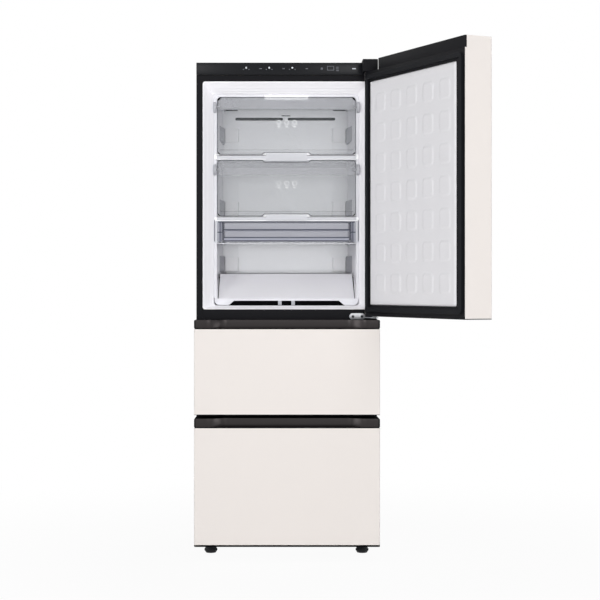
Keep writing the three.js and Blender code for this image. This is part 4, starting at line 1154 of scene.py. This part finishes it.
# ---------------- the upper room
@dataclass
class UpperRoom:
    """The upper room's white liner with its sloped mouth, ledges and guard bearings."""

    mouth: Box = (304.0, 900.5, 1727.7, 114.0)
    throat: Box = (268.0, 911.0, 1690.0, 168.0)
    rear_half: float = 246.0
    run: float = 500.0
    fall: float = 5.0
    steps: tuple[float, ...] = (0.4, 0.63, 0.86)
    guard_y: float = 165.75
    guard_z: tuple[float, float] = (1641.5, 1411.5)
    shelf_z: tuple[float, float] = (1451.7, 1225.7)
    pads: tuple[Point, ...] = ((1545.0, 1604.0), (1256.0, 1318.0), (1036.0, 1100.0))

    def wall(self, y: float) -> float:
        """Gives the room's half width at the depth y."""
        return self.throat[0] + (self.rear_half - self.throat[0]) * (y - self.throat[3]) / self.run

    def build(self) -> None:
        """Makes the liner and the fixed pieces of the room."""
        self._liner()
        self._shade_wedges()
        self._lamp()
        for node, name, finish, soft in (
            ("shelf_1_plate", "upper_shelf_glass", GLASS, 0.4),
            ("shelf_2_plate", "lower_shelf_glass", GLASS, 0.4),
            ("upper_fan", "cold_air_fan", DARK, 0.0),
        ):
            clad(node, name, finish, soft)
        dress("upper_evaporator", FINS)
        dress("lower_evaporator", COPPER)

    def _ring(self, t: float, ease: float) -> tuple[float, float, float, float, float]:
        """Gives the mouth's ring at t from its front edge, 0, to its throat, 1."""
        part = [p + (q - p) * t for p, q in zip(self.mouth, self.throat)]
        return part[0] + ease, part[1] - ease, part[2] + ease, part[3], 9 + 4 * t

    def _liner(self) -> None:
        """Forms the liner from its front lip through the stepped mouth to the rear wall."""
        _, floor, ceiling, start = self.throat
        half, low, high, _ = self.mouth
        lip = ((2.6, 113.6), (1.6, 113.6), (0.4, 114.2))
        rings = [(half + e, low - e, high + e, y, 9) for e, y in lip]
        rings.append(self._ring(0.03, 0.0))
        bend = ((-0.02, 0.7), (0.0, 0.5), (0.02, -0.5), (0.04, -0.7))
        for t in self.steps:
            rings += [self._ring(t + past, ease) for past, ease in bend]
        rings += [self._ring(0.94, 0.0), self._ring(0.98, 0.3)]
        for y in (start, 172.0, 180.0, 300.0, 480.0, 640.0):
            t = (y - start) / self.run
            rings.append((self.wall(y), floor, ceiling - self.fall * t, y, 13 + 3 * t))
        base = self.wall(652.0)
        for k in range(7):
            a = k * math.pi / 12
            inset, y = 14 * (1 - math.cos(a)), 654 + 14 * math.sin(a)
            rings.append((base - inset, floor + inset, ceiling - self.fall - inset, y, 16))
        sketch = Sketch()
        loops = []
        for half, z0, z1, y, r in rings:
            loops.append(upright(corners(rectangle(-half, half, z0, z1, r)), y))
        sketch.loft(loops[::-1], caps=False)
        last = [sketch.mesh.verts.new(in_cabinet(*p)) for p in loops[-1]]
        sketch.mesh.faces.new(last)
        near, far, out = self.wall(215), self.wall(590), self.wall(self.guard_y) + 1.2
        ledge = [(near + 1, 215), (far + 1, 590), (far - 9, 590, 4), (near - 9, 215, 4)]
        boss = [(4.2, 258.5), (17.5, 258.5), (19.2, 259.2), (20.4, 261.6), (20.4, out), (4.2, out)]
        for _ in sketch.both():
            for z in self.shelf_z:
                sketch.column(ledge, z - 8, z)
            for z in self.guard_z:
                sketch.turned(boss, (0.0, self.guard_y + 4, z), "x", 40, 1)
        seat(sketch.finish("upper_room_wall", [WHITE, BOSS_GREY]), "upper_liner")
        # The guard seat's greyer white is painted shade.
        arch = [(257.2, ceiling - 9, 14), (257.2, 938), (268.4, 938), (268.4, ceiling + 0.4, 13)]
        frame = Sketch().slab(mirrored(arch), 171.0, 175.0)
        seat(frame.finish("guard_seat", [SHADED_FLANGE_WHITE], 0.8), like="upper_liner")

    def _shade_wedges(self) -> None:
        """Sets grey wedges on both walls beside the rear cover; their grey is painted shade."""
        sketch = Sketch()
        near, far = (self.wall(y) + 0.4 for y in (436, 608))
        plan = [(near, 436), (far, 608), (240.8, 608), (241.6, 560, 12)]
        for _ in sketch.both():
            for z0, z1 in self.pads:
                sketch.column(plan, z0, z1)
        seat(sketch.finish("wall_pads", [SHADE_GREY], 0.3), like="upper_liner")

    def _lamp(self) -> None:
        """Hangs the lamp: a white housing under the ceiling over a glowing lens."""
        half, y0, y1 = 82.4, 168.2, 265.0
        sketch = Sketch()
        for slot, z0, z1, inset in ((0, 1681.2, 1686.4, 0.6), (1, 1686.4, 1688.8, 0.0)):
            plan = rectangle(-half + inset, half - inset, y0 + inset, y1 - inset, 9)
            sketch.column(plan, z0, z1, slot)
        seat(sketch.finish("lamp_cover", [LAMP, WHITE], 0.5), "ceiling_lamp")


@dataclass
class DuctCover:
    """The cover of the cold air duct on the rear wall, with its slots and stops."""

    front: float = 612.0
    half: float = 243.0
    low: float = 1034.0
    high: float = 1684.0
    slots: tuple[Point, ...] = ((-198.0, -10.0), (10.0, 198.0))
    slot_z: Point = (1642.4, 1651.0)
    stops: tuple[Point, ...] = ((1554.0, 1608.0), (1258.0, 1318.0), (1042.0, 1096.0))

    def build(self) -> None:
        """Makes the cover with its bead and stops, and the painted shade on it."""
        clad("rear_duct_cover", "cold_air_cover", DUCT_WHITE, 1.0)
        (z0, z1), y = self.slot_z, self.front
        # Near-black painted shade behind the slots, at the cover's top corners and under the bead.
        dark, rims = Sketch(), Sketch()
        for x0, x1 in self.slots:
            dark.slab(rectangle(x0 - 0.5, x1 + 0.5, z0 - 1.0, z1 + 1.4, 4), y - 0.4, y + 0.6)
            rims.slab(rectangle(x0 + 2, x1 - 2, z0 - 3.4, z0 - 1.2, 1), y - 1.4, y + 0.5)
        behind = (y - 0.3, y + 0.6)
        dark.twins((190.0, 238.0), (self.high - 4.6, self.high - 0.2), behind, 1)
        dark.slab(rectangle(-15, 20, 1658.4, 1661.4, 0.5), *behind)
        seat(dark.finish("duct_slots", [PAINTED_SHADE_BLACK]), like="rear_duct_cover")
        rims.slab(rectangle(-16, 21, 1662, 1669, 3), y - 4, y + 0.5)
        stop = [(184.5, y + 0.5), (190.0, y - 10.6, 3), (239.0, y - 12.6, 3), (240.5, y + 0.5)]
        for _ in rims.both():
            for low, high in self.stops:
                rims.column(stop, low, high)
        seat(rims.finish("cover_stops", [BEAD_AND_HIGHLIGHT_WHITE], 0.8), like="rear_duct_cover")
        across, up = (self.half - 0.3, self.half + 5.2), (self.low + 2, self.high - 2)
        seals = Sketch().twins(across, up, (y + 3, y + 8), 1)
        seat(seals.finish("cover_side_seals", [DUCT_WHITE], 0.6), like="rear_duct_cover")


@dataclass
class Shelf:
    """The front trim of one shelf, with its grip, its painted highlight strips and its end lugs."""

    name: str
    low: float
    high: float
    grip: Point
    lugs: Point

    def build(self) -> None:
        """Makes the trim."""
        a, b = 78.0, 87.0
        low, high = self.grip

        def bar(grow: float, base: float, top: float, dip: float, crest: float) -> Spots:
            """Gives the outline of a bar that widens into the grip."""
            half = [(a, dip), (b, base)] if low < self.low else []
            ends = [(257 - grow, base, 2), (257 - grow, top, 2)]
            return mirrored([*half, *ends, (b, top), (a, crest)])

        sketch = Sketch()
        sketch.slab(bar(0.0, self.low, self.high, low, high), 165.4, 180.7)
        # The white strips along the top and bottom edges are painted highlights.
        base, top = self.high - 2.6, self.high - 0.2
        sketch.slab(bar(0.4, base, top, base, high - 0.2), 164.2, 166.0, 1)
        sketch.slab(rectangle(-256.5, 256.5, self.low + 0.2, self.low + 2.4, 0.6), 164.2, 166.0, 1)
        sketch.slab(rectangle(-a + 1, a - 1, low + 1.6, high - 1.6, 4), 159.4, 166.0, 0)
        sketch.twins((247.0, 266.0), self.lugs, (168.2, 178.0), 4, 1)
        trim = sketch.finish(f"{self.name}_front_trim", [TRIM_WHITE, BEAD_AND_HIGHLIGHT_WHITE], 0.6)
        seat(trim, f"{self.name}_trim")


@dataclass
class FloorTray:
    """The tray on the room's floor: a lip over the return slot, a ramp and a raised deck."""

    lip_y: float = 182.0
    lip_top: float = 937.0
    ramp_y: float = 357.0
    deck: float = 1031.0

    def build(self) -> None:
        """Makes the tray, the strips beside its ramp and painted shade in its return slot."""
        y, top = self.lip_y, self.lip_top
        sketch = Sketch()
        # The lip takes the greyer copy of the white, painted shade.
        lip = [(194, 928.5, 3), (212, 912.4), (266, 912.4, 17), (266, top, 5)]
        sketch.slab(mirrored(lip), y, y + 3.5, 2)
        for x in (-24.5, 24.5):
            sketch.slab(rectangle(x - 6.6, x + 6.6, 912.4, 931), y + 0.6, y + 3, 1)
        ramp = [(y + 1, top - 3), (y + 1.2, top), (self.ramp_y - 3, self.deck - 1.4, 6),
                (604, self.deck, 1), (604, self.deck - 3, 1), (self.ramp_y, self.deck - 4)]
        sketch.girder(ramp, -251.2, 251.2)
        ends = ((253.4, 266.0, y + 2, top - 1), (256.6, 258.5, self.ramp_y - 3, self.deck - 3))
        strip = []
        for x0, x1, depth, z in ends:
            strip.append(upright([(x0, z), (x1, z), (x1, z - 3), (x0, z - 3)], depth))
        for _ in sketch.both():
            sketch.loft(strip)
        for x in (-150, 150):
            sketch.girder(rectangle(self.ramp_y, 598, 912.6, self.deck - 2), x - 1.5, x + 1.5)
        seat(sketch.finish("lower_tray", [WHITE, BOSS_GREY, SHADED_FLANGE_WHITE], 0.7), "floor_tray")
        # Near-black painted shade in the return slot under the lip and in the slits beside the
        # ramp.
        dark = Sketch()
        dark.slab(rectangle(-214, 214, 911.2, 932), 192, 194)
        dark.column(rectangle(-214, 214, 169, 193), 910.9, 911.5)
        shade = [(y + 4, top - 8), (self.ramp_y, self.deck - 10), (self.ramp_y, self.deck - 12),
                 (y + 4, top - 10)]
        for _ in dark.both():
            dark.girder(shade, 251.0, 258.0)
        seat(dark.finish("tray_shadows", [PAINTED_SHADE_BLACK]), like="floor_tray")


@dataclass
class Guard:
    """A clear flap that swings up in front of a shelf."""

    name: str
    low: float
    high: float
    pivot: float
    notch_low: float
    notch_high: float | None
    marks_z: float
    band_low: float
    grip: Point = (81.0, 90.0)
    half: float = 255.2
    y: float = 164.0
    thick: float = 3.5

    def _outline(self, inset: float) -> Spots:
        """Gives the flap's outline, inset by so much."""
        a, b = (x + inset / 2 for x in self.grip)
        h, low, high = self.half - inset, self.low + inset, self.high - inset
        half = [(a, self.notch_low + inset), (b, low), (h, low, 12 - inset), (h, high, 14 - inset)]
        if self.notch_high is not None:
            half += [(b, high), (a, self.notch_high - inset)]
        return mirrored(half)

    def build(self) -> None:
        """Makes the flap with its cut edge in painted shade, frosted band, pins and plain marks."""
        y0, y1 = self.y, self.y + self.thick
        outer, inner = corners(self._outline(0.0)), corners(self._outline(2.0))
        sketch = Sketch().loft([upright(inner, y0), upright(inner, y1)])
        edge = ((inner, y0 + 0.02), (outer, y0), (outer, y1), (inner, y1 - 0.02))
        sketch.loft([upright(line, y) for line, y in edge], slot=1, caps=False)
        half = self.half
        band_top = self.high - 3 if self.notch_high is None else self.notch_high - 1
        band = rectangle(3 - half, half - 3, self.band_low, band_top, 3)
        sketch.slab(band, y1 + 0.02, y1 + 1.5, slot=2)
        sketch.slab(rectangle(8 - half, half - 8, self.low + 16, self.low + 19, 1), y1, y1 + 2)
        self._corners(sketch)
        middle = (y0 + y1) / 2
        boss = [(0.01, -7), (5.0, -7), (5.5, -6.4), (5.5, 7), (0.01, 7)]
        pin = [(0.01, -4.6), (3.5, -4.6), (3.5, 4), (3.0, 4.6), (0.01, 4.6)]
        for side in SIDES:
            x = side * (half - 7)
            sketch.turned(boss, (x, middle, self.pivot), "x", 20, 2)
            sketch.turned(pin, (side * (half + 3), middle, self.pivot), "x", 16, 2)
        seat(sketch.finish(f"{self.name}_flap", [CLEAR, EDGE_SHADE_GREY, FROSTED, CORNER_SHADE_BLACK]), self.name)
        self._print()

    def _corners(self, sketch: Sketch) -> None:
        """Thickens the edge at the rounded corners, where its painted shade is near black."""
        spots = [(self.low, -1, 12.0, 4.0, 20)]
        if self.notch_high is None:
            spots.append((self.high, 1, 14.0, 6.5, 24))
        for z, up, r, thick, turns in spots:
            steps = [(k, r) for k in range(turns + 1)]
            for k in range(turns - 1, 0, -1):
                steps.append((k, r - thick * math.sin(math.pi * k / turns) ** 0.7))
            ring = []
            for k, reach in steps:
                a = math.pi / 2 * (k / turns * 1.1 - 0.05)
                x = self.half - r + reach * math.cos(a)
                ring.append((x, z - up * (r - reach * math.sin(a))))
            for _ in sketch.both():
                sketch.loft([upright(ring, y) for y in (self.y - 0.15, self.y + 0.5)], slot=3)

    def _print(self) -> None:
        """Prints three plain outlined shapes, each over a dot, in the middle of the flap."""
        sketch = Sketch()
        z, y = self.marks_z, self.y - 0.12
        for x in (-28.5, 1.0, 29.5):
            leaf = rectangle(x - 8.5, x + 8.5, z - 4, z + 13, 7.5)
            inner = rectangle(x - 6.3, x + 6.3, z - 1.8, z + 10.8, 5.6)
            sketch.ring(leaf, inner, y, self.y + 0.1)
            sketch.slab(rectangle(x - 5, x + 5, z - 13.4, z - 9.4, 1.8), y, self.y + 0.1, steps=4)
        seat(sketch.finish(f"{self.name}_print", [PRINT_WHITE]), like=self.name)


@dataclass
class MiniDrawer:
    """The shallow bluish drawer under the lower shelf, with its housing."""

    half: float = 233.0
    low: float = 1146.0
    high: float = 1217.0
    front: float = 172.0
    rear: float = 424.0
    wall: float = 2.5

    def build(self) -> None:
        """Makes the housing and the bin."""
        self._housing()
        self._bin()

    def _housing(self) -> None:
        """Makes the narrow front frame, the rails beside the bin and the rack behind them."""
        sketch = Sketch()
        rim = rectangle(-263.4, 263.4, 1139, 1222.6, 6)
        sketch.ring(rim, rectangle(-255, 255, 1142.2, 1219, 3), 168, 180)
        rack = [(249.5, 1222.4), (249.5, 1142), (236, 1142), (236, 1139.4), (252.5, 1139.4),
                (252.5, 1225.4)]
        sketch.slab(mirrored(rack), 179.5, 430)
        for x, z, y, slot in (
            ((239.6, 255.5), (1146.8, 1218.6), (178.0, 180.4), 1),
            ((244.0, 246.4), (1146.8, 1218.6), (173.6, 180.4), 2),
            ((249.6, 251.4), (1146.8, 1218.6), (174.4, 180.4), 0),
            ((238.8, 255.0), (1180.0, 1183.5), (172.6, 179.0), 2),
            ((264.2, 266.4), (1148.0, 1231.0), (168.6, 171.4), 2),
        ):
            sketch.twins(x, z, y, 0.6, slot)
        sketch.slab(rectangle(-253, 253, 1217.6, 1221.2, 1), 167.2, 169.0, 2)
        finishes = [TRIM_WHITE, RAIL_BLUE, SMOKE_EDGE]
        seat(sketch.finish("mini_drawer_frame", finishes, 0.4), "mini_drawer_housing")
        # A thin wavy white strip along the housing's lower edge is a painted highlight.
        count, length = 120, 488
        line = []
        for k in range(count + 1):
            line.append((length * (k / count - 0.5), 1139.8 - 1.5 * math.sin(math.tau * k / 9.6)))
        strip = [(x, z + 1.8) for x, z in line] + line[::-1]
        wave = Sketch().loft([upright(strip, y) for y in (168.6, 171.0)])
        seat(wave.finish("mini_drawer_wave", [BEAD_AND_HIGHLIGHT_WHITE]), like="mini_drawer_housing")

    def _bin(self) -> None:
        """Makes the bin: a tub with skids, a lipped front and ribs with dark edges."""
        def loop(inset: float, z: float) -> Line:
            """Gives the tub's outline at a height, inset by so much."""
            half = self.half - inset
            plan = rectangle(-half, half, self.front + inset, self.rear - inset, 10)
            return [(u, v, z) for u, v in corners(plan)]

        low, high, wall = self.low, self.high, self.wall
        walls = ((wall, low + 3), (wall, high - 0.4), (wall - 0.4, high), (0.4, high),
                 (0, high - 0.4), (0, low), (2, low - 0.6))
        sketch = Sketch().loft([loop(*spot) for spot in walls])
        for _ in sketch.both():
            sketch.column(rectangle(229.0, 237.8, 184, self.rear), 1143.2, 1146.6, slot=1)
        sketch.twins((232.8, 237.2), (1152.0, high + 0.3), (166.4, 172.4), 1, 1)
        lip = [(164, high - 26, 2), (173, high - 30), (173, high - 1.5), (166, high - 1.5, 2),
               (164, high - 6, 2)]
        sketch.girder(lip, -228, 228, steps=4)
        for z, height, y, slot in (
            (1148.0, 3.4, 168.4, 1), (1152.6, 6.4, 169.6, 2), (1160.4, 3.6, 169.0, 1),
            (1188.6, 4.2, 163.2, 1), (1185.0, 2.4, 168.0, 2),
        ):
            sketch.girder(rectangle(y, 172.5, z, z + height), -231, 231, slot)
        seat(sketch.finish("mini_drawer_tub", [SMOKE, SMOKE_EDGE, RAIL_BLUE]), "mini_drawer_bin")


# ---------------- the machine space
@dataclass
class Machine:
    """What is behind the louvred cover."""

    def build(self) -> None:
        """Dresses the compressor, the condenser, its fan and the drain pan."""
        clad("compressor", "compressor_can", COMPRESSOR)
        clad("condenser_fan", "condenser_fan_blades", DARK)
        clad("drain_pan", "defrost_pan", DARK, 0.5)
        dress("condenser", FINS)


def main() -> None:
    """Builds the studio and every sub-assembly in order."""
    logging.basicConfig(level=logging.INFO, format="%(name)s %(message)s")
    scene = bpy.context.scene
    scene.view_settings.view_transform = "Standard"
    load_frame()
    Studio().build()
    parts: Iterable = (
        Cabinet(), Underside(), LowerHinge(), Door(),
        Drawer("middle", 828.0, 861.3, (548.0, 826.0)),
        Drawer("bottom", 473.5, 507.9, (110.0, 478.0), lip=(49.5, 55.6)),
        UpperRoom(), DuctCover(),
        Shelf("shelf_1", 1449.0, 1466.0, (1442.5, 1473.0), (1450.4, 1468.8)),
        Shelf("shelf_2", 1223.0, 1239.0, (1223.0, 1246.0), (1224.0, 1237.0)),
        Guard("upper_guard", 1467.5, 1679.5, 1641.5, 1475.0, None, 1582.0, 1634.0),
        Guard("lower_guard", 1240.5, 1447.5, 1411.5, 1248.0, 1440.5, 1357.0, 1391.5),
        FloorTray(), MiniDrawer(), Machine(),
    )
    for part in parts:
        part.build()


if __name__ == "__main__":
    main()
